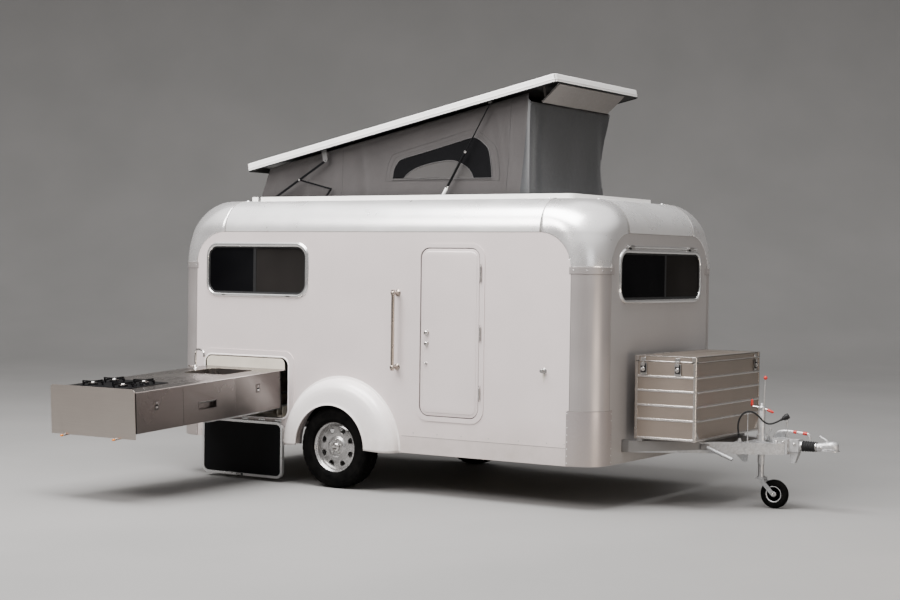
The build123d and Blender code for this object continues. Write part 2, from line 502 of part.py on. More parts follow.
hob = plate_z(kx0 + 48, kx1 - 188, -2482, -2048, 14, kz1 + 2, kz1 + 6) + plate_z(kx0 + 62, kx1 - 202, -2468, -2062, 14, kz1 - 40, kz1 + 4)
for hy in (-2370, -2160):
    for hx in (-1080, -800):
        hob = hob + rod((hx, hy, kz1 + 4), (hx, hy, kz1 + 16), 34)
        for a in range(4):
            c, s_ = math.cos(math.radians(45 + 90 * a)), math.sin(math.radians(45 + 90 * a))
            g = bar_y((hx + 30, 0), (hx + 96, 0), 8, -4, 4)
        hob = hob + box(hx - 96, hx + 96, hy - 4, hy + 4, kz1 + 22, kz1 + 31) + box(hx - 4, hx + 4, hy - 92, hy + 92, kz1 + 22, kz1 + 31)
        for ex, ey in ((-92, 0), (92, 0), (0, -88), (0, 88)):
            hob = hob + box(hx + ex - 5, hx + ex + 5, hy + ey - 5, hy + ey + 5, kz1 + 5, kz1 + 31)
put("hob", hob, tip=True)

# drawers: face, box of 4 walls and bottom
DRAWERS = [("drawer_outer", ky0 + 24, DIV[0] - 4, kz1 - 54), ("drawer_middle", DIV[0] + 4, DIV[1] - 4, kz1 - 22)]
for nm, y0, y1, zt in DRAWERS:
    face = box(kx1 - 12, kx1 + 2, y0 - (14 if nm == "drawer_outer" else 3), y1 + 3, kz0 + 1, kz1 - 4)
    face = box(kx1 + 1, kx1 + 13, y0 - (14 if nm == "drawer_outer" else 3), y1 + 3, kz0 + 2, kz1 - 5)
    tray = box(kx1 - DR_D, kx1 + 1.5, y0 + 6, y1 - 6, kz0 + 18, zt - 50)
    tray = tray - box(kx1 - DR_D + 10, kx1 - 8, y0 + 16, y1 - 16, kz0 + 26, zt)
    d = face + tray
    if nm == "drawer_middle":      # recessed pull
        d = d - box(kx1 + 3, kx1 + 20, -1972, -1781, 650, 712)
        d = d + box(kx1 - 26, kx1 + 3, -1980, -1773, 642, 720) - box(kx1 - 22, kx1 + 20, -1972, -1781, 650, 712)
    put(nm, d, tip=True)

beams = []
for bx in BEAM_X:
    b = box(bx - 18, bx + 18, ky1 - 771, ky1 + 820, 530, 557)
    b = b - box(bx - 14, bx + 14, ky1 - 830, ky1 + 830, 534, 553)
    beams.append(b)
tie = box(BEAM_X[0] + 17, BEAM_X[1] - 17, ky1 + 770, ky1 + 800, 549, 557)
beams = beams[0] + beams[1] + tie
put("runner_beams", beams, tip=True)

# ---------------------------------------------------------------------------
# pop-up roof
# ---------------------------------------------------------------------------
co = plate_z(COAM_X[0], COAM_X[1], -COAM_Y[1], COAM_Y[1], 40, LEDGE_Z[0], COAM_Z) - \
    plate_z(COAM_X[0] + 10, COAM_X[1] - 10, -COAM_Y[0], COAM_Y[0], 30, LEDGE_Z[1], COAM_Z + 10) - \
    plate_z(TENT_X[0] + 46, TENT_X[1] - 46, -TENT_Y + 46, TENT_Y - 46, 20, LEDGE_Z[0] - 10, COAM_Z)
th = math.radians
A = (PIVOT["x"], PIVOT["z"])
B = (ARM_TIP["x"], ARM_TIP["z"])
ARM_LEN = math.hypot(B[0] - A[0], B[1] - A[1])
ARM_ANG = math.degrees(math.atan2(B[1] - A[1], B[0] - A[0]))
ARM_DOWN = ARM_ANG - 0.0                    # the arm lies level when shut
M = (A[0] + MID * (B[0] - A[0]), A[1] + MID * (B[1] - A[1]))
C = (-378.0, 2197.0)
D = (-510.0, 2031.0)
S0, S1 = (STRUT_LOW["x"], STRUT_LOW["z"]), (STRUT_TOP["x"], STRUT_TOP["z"])
# pivots on the tray: arm, crank and strut
for s in (-1, 1):
    for (px, pz), yb in ((A, Y_BRKT), (S0, STRUT_Y + 14)):
        co = co + box(px - 16, px + 16, *sorted((s * (yb - 3), s * (yb + 3))), LEDGE_Z[1] - 3, pz + 9)
    co = co + box(D[0] - 16, D[0] + 16, *sorted((s * (Y_CRANK - 8 - 2.5), s * (Y_CRANK - 8 + 2.5))), LEDGE_Z[1] - 3, D[1] + 9)
    co = co + rod((A[0], s * (Y_ARM - 3.5), A[1]), (A[0], s * (Y_BRKT + 2), A[1]), 4)
    co = co + rod((S0[0], s * (STRUT_Y - 3.5), S0[1]), (S0[0], s * (STRUT_Y + 13), S0[1]), 4)
    co = co + rod((D[0], s * (Y_CRANK + 3.5), D[1]), (D[0], s * (Y_CRANK - 9), D[1]), 4)
# slots that take the rear lip of the lowered panel
RL = PANEL_REAR["x"] + 113.4
co = co - box(RL - 6, RL + LIP_T + 14, -COAM_Y[1] - 2, COAM_Y[1] + 2, 2105, COAM_Z + 10)
put("roof_coaming", co)

ARM_W = 17.0
arm = []
for s in (-1, 1):
    y0, y1 = sorted((s * (Y_ARM - BAR_T / 2), s * (Y_ARM + BAR_T / 2)))
    b = bar_y(A, B, ARM_W, y0, y1)
    b = b - rod((A[0], y0 - 1, A[1]), (A[0], y1 + 1, A[1]), 4.05)
    b = b + rod((M[0], s * (Y_LINK - 3.2), M[1]), (M[0], s * Y_ARM, M[1]), 4)
    b = b + rod((B[0], s * Y_ARM, B[1]), (B[0], s * (Y_BRKT + 3), B[1]), 4)
    arm.append(b)
put("rear_arms", *arm)
lnk = []
for s in (-1, 1):
    y0, y1 = sorted((s * (Y_LINK - BAR_T / 2), s * (Y_LINK + BAR_T / 2)))
    b = bar_y(M, C, 13, y0, y1)
    b = b - rod((M[0], y0 - 1, M[1]), (M[0], y1 + 1, M[1]), 4.05)
    lnk.append(b)
put("brace_links", *lnk)
crk = []
for s in (-1, 1):
    y0, y1 = sorted((s * (Y_CRANK - BAR_T / 2), s * (Y_CRANK + BAR_T / 2)))
    b = bar_y(D, C, 15, y0, y1)
    b = b - rod((D[0], y0 - 1, D[1]), (D[0], y1 + 1, D[1]), 4.05)
    crk.append(b)
put("brace_cranks", *crk)

# struts: cylinder on the tray, rod to the panel
sl = math.hypot(S1[0] - S0[0], S1[1] - S0[1])
ux, uz = (S1[0] - S0[0]) / sl, (S1[1] - S0[1]) / sl
CYL = 478.0
cyl, srod = [], []
for s in (-1, 1):
    y = s * STRUT_Y
    c = rod((S0[0] + ux * 12, y, S0[1] + uz * 12), (S0[0] + ux * CYL, y, S0[1] + uz * CYL), 9)
    c = c + rod((S0[0], y - 3.0, S0[1]), (S0[0], y + 3.0, S0[1]), 9) + rod((S0[0], y, S0[1]), (S0[0] + ux * 20, y, S0[1] + uz * 20), 5)
    c = c - rod((S0[0], y - 12, S0[1]), (S0[0], y + 12, S0[1]), 4.05)
    c = c - rod((S0[0] + ux * 60, y, S0[1] + uz * 60), (S0[0] + ux * (CYL + 5), y, S0[1] + uz * (CYL + 5)), 4.55)
    cyl.append(c)
    r = rod((S0[0] + ux * (CYL - 90), y, S0[1] + uz * (CYL - 90)), (S1[0] - ux * 8, y, S1[1] - uz * 8), 4.5)
    r = r + rod((S1[0], y - 3.0, S1[1]), (S1[0], y + 3.0, S1[1]), 9)
    srod.append(r)
put("strut_cylinders", *cyl)
put("strut_rods", *srod)

# roof panel, built flat with its rear top edge at the origin and then raised
def raise_panel(s):
    return Pos(PANEL_REAR["x"], 0, PANEL_REAR["z"]) * (Rot(0, -PITCH, 0) * s)


def panel_local(p):
    """World (x, z) of the raised roof to the panel's flat frame."""
    dx, dz = p[0] - PANEL_REAR["x"], p[1] - PANEL_REAR["z"]
    c, s_ = math.cos(th(PITCH)), math.sin(th(PITCH))
    return dx * c + dz * s_, -dx * s_ + dz * c


pan = box(0, PANEL_L, -PANEL_W, PANEL_W, -LIP_H, 0)
pan = fillet(pan.edges().filter_by(Axis.Z), 34)
pan = fillet(pan.faces().sort_by(Axis.Z)[-1].edges(), 7)
hol = box(LIP_T, PANEL_L - LIP_T, -PANEL_W + LIP_T, PANEL_W - LIP_T, -LIP_H - 1, -22)
hol = fillet(hol.edges().filter_by(Axis.Z), 24)
pan = pan - hol
Bl, Ul = panel_local(B), panel_local(S1)
for s in (-1, 1):
    y0, y1 = sorted((s * (Y_BRKT - 3), s * (Y_BRKT + 3)))
    pan = pan + (box(Bl[0] - 22, Bl[0] + 22, y0, y1, Bl[1], -20) + rod((Bl[0], y0, Bl[1]), (Bl[0], y1, Bl[1]), 15))
    pan = pan - rod((Bl[0], y0 - 2, Bl[1]), (Bl[0], y1 + 2, Bl[1]), 4.06)
    y0, y1 = sorted((s * (STRUT_Y + 10), s * (STRUT_Y + 15)))
    pan = pan + box(Ul[0] - 15, Ul[0] + 15, y0, y1, Ul[1] - 12, -20) + rod((Ul[0], s * (STRUT_Y + 4), Ul[1]), (Ul[0], y1 if s > 0 else y0, Ul[1]), 4)
put("roof_panel", raise_panel(pan))

# front lining board between the lip and the head of the canvas
f_top, f_bot = panel_local((1530.0, 2918.0)), panel_local((1392.0, 2793.0))
fas = poly_y([f_top, (f_top[0] + 9, f_top[1] - 9), (f_bot[0] + 6, f_bot[1] - 8), f_bot], -500, 500)
for s in (-1, 0, 1):   # battens that carry it
    fas = fas + poly_y([(f_bot[0] + 2, f_bot[1] - 1), (f_bot[0] + 2, -22), (f_bot[0] + 22, -22), (f_bot[0] + 22, f_bot[1] + 14)], s * 440 - 9, s * 440 + 9)
put("roof_front_lining", raise_panel(fas))

# canvas: hollow tent from the tray up to the panel
def under(x):
    """Height of the canvas head below the raised panel at x."""
    return PANEL_REAR["z"] + (x - PANEL_REAR["x"]) * math.tan(th(PITCH)) - (LIP_H + 10) / math.cos(th(PITCH))


tz0 = LEDGE_Z[1] + 0.5


def tent(m):
    x0, x1 = TENT_X[0] + m, TENT_X[1] - m
    e = 0 if m == 0 else 30
    t = poly_y([(x0, tz0 - e), (x1, tz0 - e), (x1, 2785), (x1 - 60, under(x1 - 60) + e), (x0 + 100, under(x0 + 100) + e), (x0 + 82, 2313), (x0 + 34, 2197)], -TENT_Y + m, TENT_Y - m)
    for s in (-1, 1):      # the front corners flare out to the width of the front face
        a, b = s * (TENT_Y - m - 1), s * (TENT_WING - m)
        t = t + poly_z([(x1 - 120 + m, a), (x1 - 14, b), (x1, b), (x1, a)], tz0 - e, 2775 + e)
    return t


canvas = tent(0) - tent(9)
put("canvas", canvas)

# ---------------------------------------------------------------------------
# storage box
# ---------------------------------------------------------------------------
BT = 9.0
sb = box(BOX_X[0], BOX_X[1], -BOX_Y, BOX_Y, BOX_Z[0], BOX_Z[1]) - box(BOX_X[0] + BT, BOX_X[1] - BT, -BOX_Y + BT, BOX_Y - BT, BOX_Z[0] + BT, BOX_Z[1] + 5)
for z in (BOX_Z[0] + 8, 607, 702, 802, 898):      # pressed ribs
    sb = sb + (box(BOX_X[0] - 3, BOX_X[1] + 3, -BOX_Y - 3, BOX_Y + 3, z - 8, z + 8) - box(BOX_X[0] + 2, BOX_X[1] - 2, -BOX_Y + 2, BOX_Y - 2, z - 9, z + 9))
put("storage_box", sb)
lid = box(BOX_X[0] - 2, BOX_X[1] + 2, -BOX_Y - 2, BOX_Y + 2, BOX_Z[1] + 2, LID_Z) - box(BOX_X[0] + 7, BOX_X[1] - 7, -BOX_Y + 7, BOX_Y - 7, BOX_Z[1], LID_Z - 8)
LID_AX = dict(y=BOX_Y + 12.0, z=BOX_Z[1] + 1.0)
for hx in (2300, 2516):
    lid = lid + rod((hx - 35, LID_AX["y"], LID_AX["z"]), (hx + 35, LID_AX["y"], LID_AX["z"]), 6) + box(hx - 33, hx + 33, BOX_Y + 1, LID_AX["y"] + 3, LID_AX["z"] + 2, LID_AX["z"] + 34)
put("box_lid", lid)

# ---------------------------------------------------------------------------
# drawbar gear
# ---------------------------------------------------------------------------
oh = box(2975, 3160, -40, 40, 400, 484) + rod((3120, 0, TUBE), (3172, 0, TUBE), 34)
oh = oh - box(2970, 3090, -33, 33, 300, 500) - rod((3080, 0, TUBE), (3200, 0, TUBE), 24)
oh = oh + poly_y([(3080, 401), (3158, 401), (3140, 352), (3126, 318), (3104, 322), (3100, 356)], -5, 5)
oh = oh - box(2900, 3085, -41, 41, RAIL_Z[0] - 1, RAIL_Z[1] + 0.5)
oh = oh + box(3000, 3090, -60, -34, RAIL_Z[1] + 0.5, 484) + box(3000, 3090, 34, 60, RAIL_Z[1] + 0.5, 484)
oh = oh + box(3073, 3087, -62, 62, 379, 484)     # end flange in front of the rails
put("overrun_housing", oh)
shaft = rod((3090, 0, TUBE), (3330, 0, TUBE), 22)
bel = None
for k in range(6):
    x0 = 3174 + k * 17
    p = rod((x0, 0, TUBE), (x0 + 11, 0, TUBE), 37) + rod((x0 + 10, 0, TUBE), (x0 + 18, 0, TUBE), 31)
    bel = p if bel is None else bel + p
bel = bel - rod((3100, 0, TUBE), (3300, 0, TUBE), 22.5)
put("drawbar_bellows", bel)
# coupling head: hollow nose over the ball, with a round socket open downwards
hd = rod((3282, 0, TUBE), (3340, 0, TUBE), 27) + rod((BALL_X, 0, TUBE - 20), (BALL_X, 0, TUBE + 24), 38)
hd = hd + (Pos(BALL_X, 0, TUBE + 24) * Sphere(34))
hd = hd + box(3330, BALL_X, -30, 30, TUBE - 20, TUBE + 26) + plate_z(3322, 3432, -44, 44, 20, TUBE - 24, TUBE - 17)
hd = hd + rod((3310, 0, TUBE + 24), (3308, 0, TUBE + 66), 7) + rod((3318, 0, TUBE + 60), (3272, 0, TUBE + 84), 9)
hd = hd + shaft
SOCK_R = 25.2
hd = hd - rod((BALL_X, 0, TUBE - 40), (BALL_X, 0, TUBE + 6), SOCK_R) - (Pos(BALL_X, 0, TUBE + 6) * Sphere(SOCK_R))
put("coupling_head", hd)
# parking brake lever lying along the top of the housing
hb = rod((3000, 52, 500), (3215, 52, 526), 9) + rod((3215, 52, 526), (3232, 52, 500), 7) + box(2985, 3030, 47, 57, 484.5, 512)
put("handbrake_lever", hb)
JY = JOCKEY["y"]
jc = rod((jx, JY, RAIL_Z[1]), (jx, JY, RAIL_Z[1] + 46), 33) + box(jx - 40, jx + 40, JY - 40, JY + 40, RAIL_Z[1], RAIL_Z[1] + 7)
jc = jc + box(jx + 20, jx + 58, JY - 12, JY + 12, RAIL_Z[1] + 12, RAIL_Z[1] + 40)
jc = jc - rod((jx, JY, 380), (jx, JY, 570), 24.1)
jc = jc + rod((jx + 46, JY - 11, RAIL_Z[1] + 26), (jx + 46, JY - 30, RAIL_Z[1] + 26), 8) + rod((jx + 46, JY - 26, RAIL_Z[1] + 22), (jx + 78, JY - 26, RAIL_Z[1] + 96), 6.5)
put("jockey_clamp", jc)
jm = rod((jx, JY, 300), (jx, JY, 690), 24) - rod((jx, JY, 290), (jx, JY, 660), 20)
jm = jm + rod((jx, JY, 688), (jx, JY, 706), 12)
jm = jm + rod((jx, JY, 706), (jx + 48, JY, 706), 7) + rod((jx + 44, JY, 704), (jx + 44, JY, 792), 6) + rod((jx + 44, JY, 780), (jx + 44, JY, 860), 9)
put("jockey_mast", jm)
jw, jr = JOCKEY["wheel_x"], JOCKEY["r"]
jf = rod((jx, JY, 196), (jx, JY, 640), 19.9)
jf = jf + box(jx - 30, jx + 34, JY - 36, JY + 36, 196, 208)
for s in (-1, 1):
    jf = jf + bar_y((jx + 6, 200), (jw, jr), 30, *sorted((JY + s * 31, JY + s * 36)))
jf = jf - box(jx - 60, jx + 200, JY - 30.8, JY + 30.8, 0, 195.9)
put("jockey_fork", jf)
jt = rod((jw, JY - 24, jr), (jw, JY + 24, jr), jr)
jt = fillet(jt.edges().filter_by(GeomType.CIRCLE), 18)
jt = jt + rod((jw, JY - 29.6, jr), (jw, JY + 29.6, jr), 16)
put("jockey_wheel", jt)

# lead of the road lights: out of a gland on the rail, over a hook and into a
# parking bracket on the housing; points of its route, then its arcs
LEAD_D = 12.0
LEAD = [(2786, -165, 480), (2772, -163, 541), (2774, -155, 603), (2803, -143, 655), (2856, -127, 668),
        (2902, -110, 634), (2934, -92, 590), (2982, -72, 577), (3040, -57, 613)]
radii = []
for i in range(1, len(LEAD) - 1):
    a, b, c = Vector(*LEAD[i - 1]), Vector(*LEAD[i]), Vector(*LEAD[i + 1])
    turn = (b - a).get_angle(c - b)
    radii.append(0.45 * min((b - a).length, (c - b).length) / math.tan(math.radians(turn / 2)))
lead_path = FilletPolyline(*LEAD, radius=radii)
lead = sweep(Plane(origin=lead_path @ 0, z_dir=lead_path % 0) * Circle(LEAD_D / 2), path=lead_path)
print("lead length", lead_path.length, "radii", [round(r) for r in radii], "volume ratio", lead.volume / (math.pi * LEAD_D ** 2 / 4 * lead_path.length))
put("connector_cable", lead)
ld = (Vector(*LEAD[-1]) - Vector(*LEAD[-2])).normalized()
p0 = Vector(*LEAD[-1])


def along(t):
    q = p0 + ld * t
    return (q.X, q.Y, q.Z)


plug = rod(along(0), along(20), 9) + rod(along(18), along(34), 15) + rod(along(32), along(60), 19) + rod(along(38), along(44), 21)
plug = plug - rod(along(48), along(62), 16.5)
put("connector_plug", plug)
v0 = (Vector(*LEAD[1]) - Vector(*LEAD[0])).normalized()
g0 = Vector(*LEAD[0])
gland = rod((g0.X, g0.Y, 455), (g0.X, g0.Y, 468), 15) + rod(tuple(g0 - v0 * 14), tuple(g0 - v0 * .6), 10)
gland = gland + box(g0.X - 20, g0.X + 20, -214, g0.Y + 16, 455, 459)
hook = rod((2832, -134, 455), (2832, -134, 649), 4) + rod((2832, -134, 455), (2832, -134, 460), 14) + rod((2834.5, -142, 649), (2829.5, -126, 649), 5)
hk = along(46)
park = rod((3084, -36, 484), (3084, -36, 489), 13) + rod((3084, -36, 484), (hk[0], hk[1], hk[2] - 31), 4) + rod((hk[0], hk[1], hk[2] - 33), (hk[0], hk[1], hk[2] - 26), 12)
put("cable_clips", gland, hook, park)

# rear lamps
lamps = []
for s in (-1, 1):
    lamps.append(plate_x(*sorted((s * 540, s * 760)), 430, 520, 20, X_REAR - 26, X_REAR))
put("tail_lamps", *lamps)
print("arm", ARM_LEN, ARM_ANG, "M", M, "strut", sl, math.degrees(math.atan2(uz, ux)), "B local", Bl, "U local", Ul)
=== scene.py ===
import bpy
import bmesh
import json
import math
import random
from mathutils import Matrix, Vector, noise


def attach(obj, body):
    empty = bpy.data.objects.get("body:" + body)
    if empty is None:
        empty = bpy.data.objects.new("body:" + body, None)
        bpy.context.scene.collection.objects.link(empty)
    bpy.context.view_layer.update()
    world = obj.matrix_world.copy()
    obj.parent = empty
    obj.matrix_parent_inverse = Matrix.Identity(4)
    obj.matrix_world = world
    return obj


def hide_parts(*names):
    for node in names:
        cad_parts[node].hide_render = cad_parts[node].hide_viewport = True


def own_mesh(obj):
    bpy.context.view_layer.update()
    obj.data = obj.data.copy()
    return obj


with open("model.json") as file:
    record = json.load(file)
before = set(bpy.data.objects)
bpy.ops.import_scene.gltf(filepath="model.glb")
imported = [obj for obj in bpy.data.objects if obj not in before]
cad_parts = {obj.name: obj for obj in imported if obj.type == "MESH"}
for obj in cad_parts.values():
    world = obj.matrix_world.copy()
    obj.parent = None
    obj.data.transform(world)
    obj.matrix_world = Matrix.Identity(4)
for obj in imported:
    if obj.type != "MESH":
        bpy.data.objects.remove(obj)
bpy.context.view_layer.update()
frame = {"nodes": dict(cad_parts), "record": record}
NODES = frame["nodes"]
random.seed(7)

# Body frame, metres: x = 0 at the axle, z = 0 on the ground. Row frame: origin
# at the coupling ball.
OX, OZ = 3.385, 0.440


def B(x, y, z):
    return Vector((x - OX, y, z - OZ))


# ---------------------------------------------------------------------------
# materials
# ---------------------------------------------------------------------------
class Mat:
    def __init__(self, name):
        self.m = bpy.data.materials.new(name)
        self.m.use_nodes = True
        self.nt = self.m.node_tree
        self.nt.nodes.clear()
        self.out = self.nt.nodes.new("ShaderNodeOutputMaterial")
        self.b = self.nt.nodes.new("ShaderNodeBsdfPrincipled")
        self.nt.links.new(self.b.outputs[0], self.out.inputs[0])
        self.co = self.nt.nodes.new("ShaderNodeTexCoord").outputs["Object"]

    def set(self, **kw):
        for k, v in kw.items():
            key = k.replace("_", " ")
            s = self.b.inputs[key]
            s.default_value = (*v, 1.0) if isinstance(v, tuple) and len(v) == 3 and s.type == "RGBA" else v
        return self

    def node(self, kind, **kw):
        n = self.nt.nodes.new(kind)
        for k, v in kw.items():
            if hasattr(n, k):
                setattr(n, k, v)
            else:
                n.inputs[k.replace("_", " ")].default_value = v
        return n

    def link(self, a, b):
        self.nt.links.new(a, b)

    def scaled(self, sx, sy, sz, loc=(0, 0, 0)):
        n = self.node("ShaderNodeMapping")
        n.inputs["Scale"].default_value = (sx, sy, sz)
        n.inputs["Location"].default_value = loc
        self.link(self.co, n.inputs["Vector"])
        return n.outputs[0]

    def noise(self, scale=5.0, detail=4.0, rough=0.55, vec=None, dist=0.0):
        n = self.node("ShaderNodeTexNoise")
        n.inputs["Scale"].default_value = scale
        n.inputs["Detail"].default_value = detail
        n.inputs["Roughness"].default_value = rough
        n.inputs["Distortion"].default_value = dist
        self.link(vec or self.co, n.inputs["Vector"])
        return n.outputs[0]

    def ramp(self, fac, stops, interp="LINEAR"):
        n = self.node("ShaderNodeValToRGB")
        cr = n.color_ramp
        cr.interpolation = interp
        while len(cr.elements) < len(stops):
            cr.elements.new(0.5)
        for e, (p, c) in zip(cr.elements, stops):
            e.position = p
            e.color = (*c, 1) if len(c) == 3 else c
        self.link(fac, n.inputs[0])
        return n.outputs[0]

    def maprange(self, v, a, b, c, d):
        n = self.node("ShaderNodeMapRange")
        for i, x in enumerate((a, b, c, d)):
            n.inputs[i + 1].default_value = x
        self.link(v, n.inputs[0])
        return n.outputs[0]

    def mix(self, fac, a, b, mode="MIX"):
        n = self.node("ShaderNodeMix", data_type="RGBA", blend_type=mode)
        for s, v in ((0, fac), (6, a), (7, b)):
            if hasattr(v, "is_linked"):
                self.link(v, n.inputs[s])
            elif isinstance(v, tuple):
                n.inputs[s].default_value = (*v, 1) if len(v) == 3 else v
            else:
                n.inputs[s].default_value = v
        return n.outputs[2]

    def math(self, op, a, b=0.0):
        n = self.node("ShaderNodeMath", operation=op)
        for s, v in ((0, a), (1, b)):
            if hasattr(v, "is_linked"):
                self.link(v, n.inputs[s])
            else:
                n.inputs[s].default_value = v
        return n.outputs[0]

    def bump(self, *layers):
        prev = None
        for h, strength, dist in layers:
            n = self.node("ShaderNodeBump")
            n.inputs["Strength"].default_value = strength
            n.inputs["Distance"].default_value = dist
            self.link(h, n.inputs["Height"])
            if prev is not None:
                self.link(prev, n.inputs["Normal"])
            prev = n.outputs[0]
        self.link(prev, self.b.inputs["Normal"])
        return self

    def color(self, s):
        self.link(s, self.b.inputs["Base Color"])
        return self

    def rough(self, s):
        self.link(s, self.b.inputs["Roughness"])
        return self


def z_of(m):
    n = m.node("ShaderNodeSeparateXYZ")
    m.link(m.co, n.inputs[0])
    return n.outputs


def make_skin(name, base, metallic, r0, r1, dirt_and_shade=0.5, wave=0.25, skirt=0.0):
    """Satin anodised or painted sheet: slow tone changes, darker and browner low down, as dust and painted shade."""
    m = Mat(name)
    m.set(Metallic=metallic, Specular_IOR_Level=0.5)
    big = m.noise(1.3, 3.0, 0.5)
    fine = m.noise(60.0, 3.0, 0.6)
    lo = tuple(c * 0.93 for c in base)
    hi = tuple(min(1, c * 1.035) for c in base)
    col = m.ramp(big, [(0.3, lo), (0.7, hi)])
    col = m.mix(0.06, col, m.ramp(fine, [(0.35, (0.55, 0.53, 0.5)), (0.6, base)]))
    z = z_of(m)[2]
    # Darker, browner towards the bottom: dust and painted shade.
    low = m.maprange(z, -0.10, 0.16, 1.0, 0.0)
    dirt_and_shade_mask = m.math("MULTIPLY", low, m.maprange(m.noise(7.0, 6.0, 0.65), 0.35, 0.75, dirt_and_shade * 0.35, dirt_and_shade))
    col = m.mix(dirt_and_shade_mask, col, (0.36, 0.31, 0.26))
    # Darker band below the lower seam: dirt and painted shade.
    if skirt:
        col = m.mix(m.maprange(z, -0.0265, -0.0225, skirt, 0.0), col, (0.20, 0.17, 0.155))
    m.color(col)
    m.rough(m.maprange(m.noise(3.0, 4.0, 0.6), 0.3, 0.7, r0, r1))
    m.bump((m.noise(2.2, 2.0, 0.5), wave, 0.004), (m.noise(420.0, 2.0, 0.5), 0.03, 0.0004))
    return m.m


def make_brushed(name, base, metallic, r0, r1, axis="x", streak=0.35, wave=0.0):
    """Brushed metal: fine streaks along one axis."""
    m = Mat(name)
    m.set(Metallic=metallic, Specular_IOR_Level=0.5)
    sc = {"x": (3.0, 260.0, 260.0), "y": (260.0, 3.0, 260.0), "z": (260.0, 260.0, 3.0)}[axis]
    st = m.noise(1.0, 3.0, 0.6, vec=m.scaled(*sc))
    cloud = m.noise(3.5, 4.0, 0.55)
    col = m.ramp(st, [(0.3, tuple(c * 0.94 for c in base)), (0.7, tuple(min(1, c * 1.03) for c in base))])
    col = m.mix(0.35, col, m.ramp(cloud, [(0.3, tuple(c * 0.86 for c in base)), (0.75, tuple(min(1, c * 1.05) for c in base))]))
    m.color(col)
    m.rough(m.maprange(cloud, 0.3, 0.7, r0, r1))
    layers = [(st, 0.06 * streak, 0.0006)]
    if wave:
        layers.append((m.noise(2.6, 2.0, 0.5), wave, 0.004))
    m.bump(*layers)
    return m.m


def make_galv(name, base=(0.46, 0.465, 0.475), dark=0.72):
    """Hot-dip galvanised steel: spangle, dull patches, dust."""
    m = Mat(name)
    m.set(Metallic=0.85)
    v = m.node("ShaderNodeTexVoronoi")
    v.inputs["Scale"].default_value = 95.0
    m.link(m.scaled(1, 1, 1), v.inputs["Vector"])
    sp = m.maprange(v.outputs["Color"], 0.0, 1.0, 0.0, 1.0)
    col = m.ramp(sp, [(0.1, tuple(c * dark for c in base)), (0.9, base)])
    col = m.mix(m.maprange(m.noise(14.0, 5.0, 0.65), 0.45, 0.75, 0.0, 0.55), col, (0.42, 0.40, 0.38))
    m.color(col)
    m.rough(m.maprange(m.noise(30.0, 4.0, 0.6), 0.3, 0.7, 0.34, 0.58))
    m.bump((m.noise(120.0, 3.0, 0.6), 0.12, 0.0008))
    return m.m


def make_plain(name, base, rough, metallic=0.0, grain=90.0, amp=0.08, var=0.12, spec=0.5, coat=0.0):
    m = Mat(name)
    m.set(Metallic=metallic, Specular_IOR_Level=spec)
    if coat:
        m.set(Coat_Weight=coat, Coat_Roughness=0.12)
    n = m.noise(grain * 0.12, 4.0, 0.6)
    m.color(m.ramp(n, [(0.25, tuple(c * (1 - var) for c in base)), (0.75, tuple(min(1, c * (1 + var)) for c in base))]))
    m.rough(m.maprange(m.noise(grain * 0.3, 3.0, 0.6), 0.3, 0.7, max(0.03, rough - 0.06), min(1, rough + 0.06)))
    m.bump((m.noise(grain, 3.0, 0.6), amp, 0.0008))
    return m.m


def make_canvas(name, base, weave=900.0):
    """Coated tent cloth: plain weave, soft creases, slightly mottled."""
    m = Mat(name)
    m.set(Metallic=0.0, Specular_IOR_Level=0.3, Sheen_Weight=0.25, Sheen_Roughness=0.5)
    n1 = m.noise(3.2, 5.0, 0.6)
    n2 = m.noise(38.0, 4.0, 0.6)
    col = m.ramp(n1, [(0.28, tuple(c * 0.84 for c in base)), (0.72, tuple(c * 1.14 for c in base))])
    col = m.mix(0.25, col, m.ramp(n2, [(0.3, tuple(c * 0.8 for c in base)), (0.7, tuple(c * 1.2 for c in base))]))
    w1 = m.node("ShaderNodeTexWave", wave_type="BANDS", bands_direction="X")
    w2 = m.node("ShaderNodeTexWave", wave_type="BANDS", bands_direction="Z")
    w3 = m.node("ShaderNodeTexWave", wave_type="BANDS", bands_direction="Y")
    for w in (w1, w2, w3):
        w.inputs["Scale"].default_value = weave / 3.0
        w.inputs["Distortion"].default_value = 0.6
        m.link(m.co, w.inputs["Vector"])
    wv = m.math("ADD", m.math("ADD", w1.outputs[1], w3.outputs[1]), w2.outputs[1])
    m.color(col)
    m.rough(m.maprange(n2, 0.3, 0.7, 0.72, 0.88))
    m.bump((wv, 0.12, 0.0006), (m.noise(9.0, 5.0, 0.65, dist=0.4), 0.28, 0.006))
    return m.m


def make_glass(name, base, rough=0.05):
    m = Mat(name)
    m.set(Metallic=0.0, Specular_IOR_Level=0.012)
    n = m.noise(1.8, 2.0, 0.5)
    m.color(m.ramp(n, [(0.3, base), (0.8, tuple(c * 1.7 + 0.002 for c in base))]))
    m.rough(m.maprange(m.noise(6.0, 3.0, 0.6), 0.3, 0.7, rough, rough + 0.05))
    m.bump((m.noise(1.1, 1.0, 0.5), 0.05, 0.01))
    return m.m


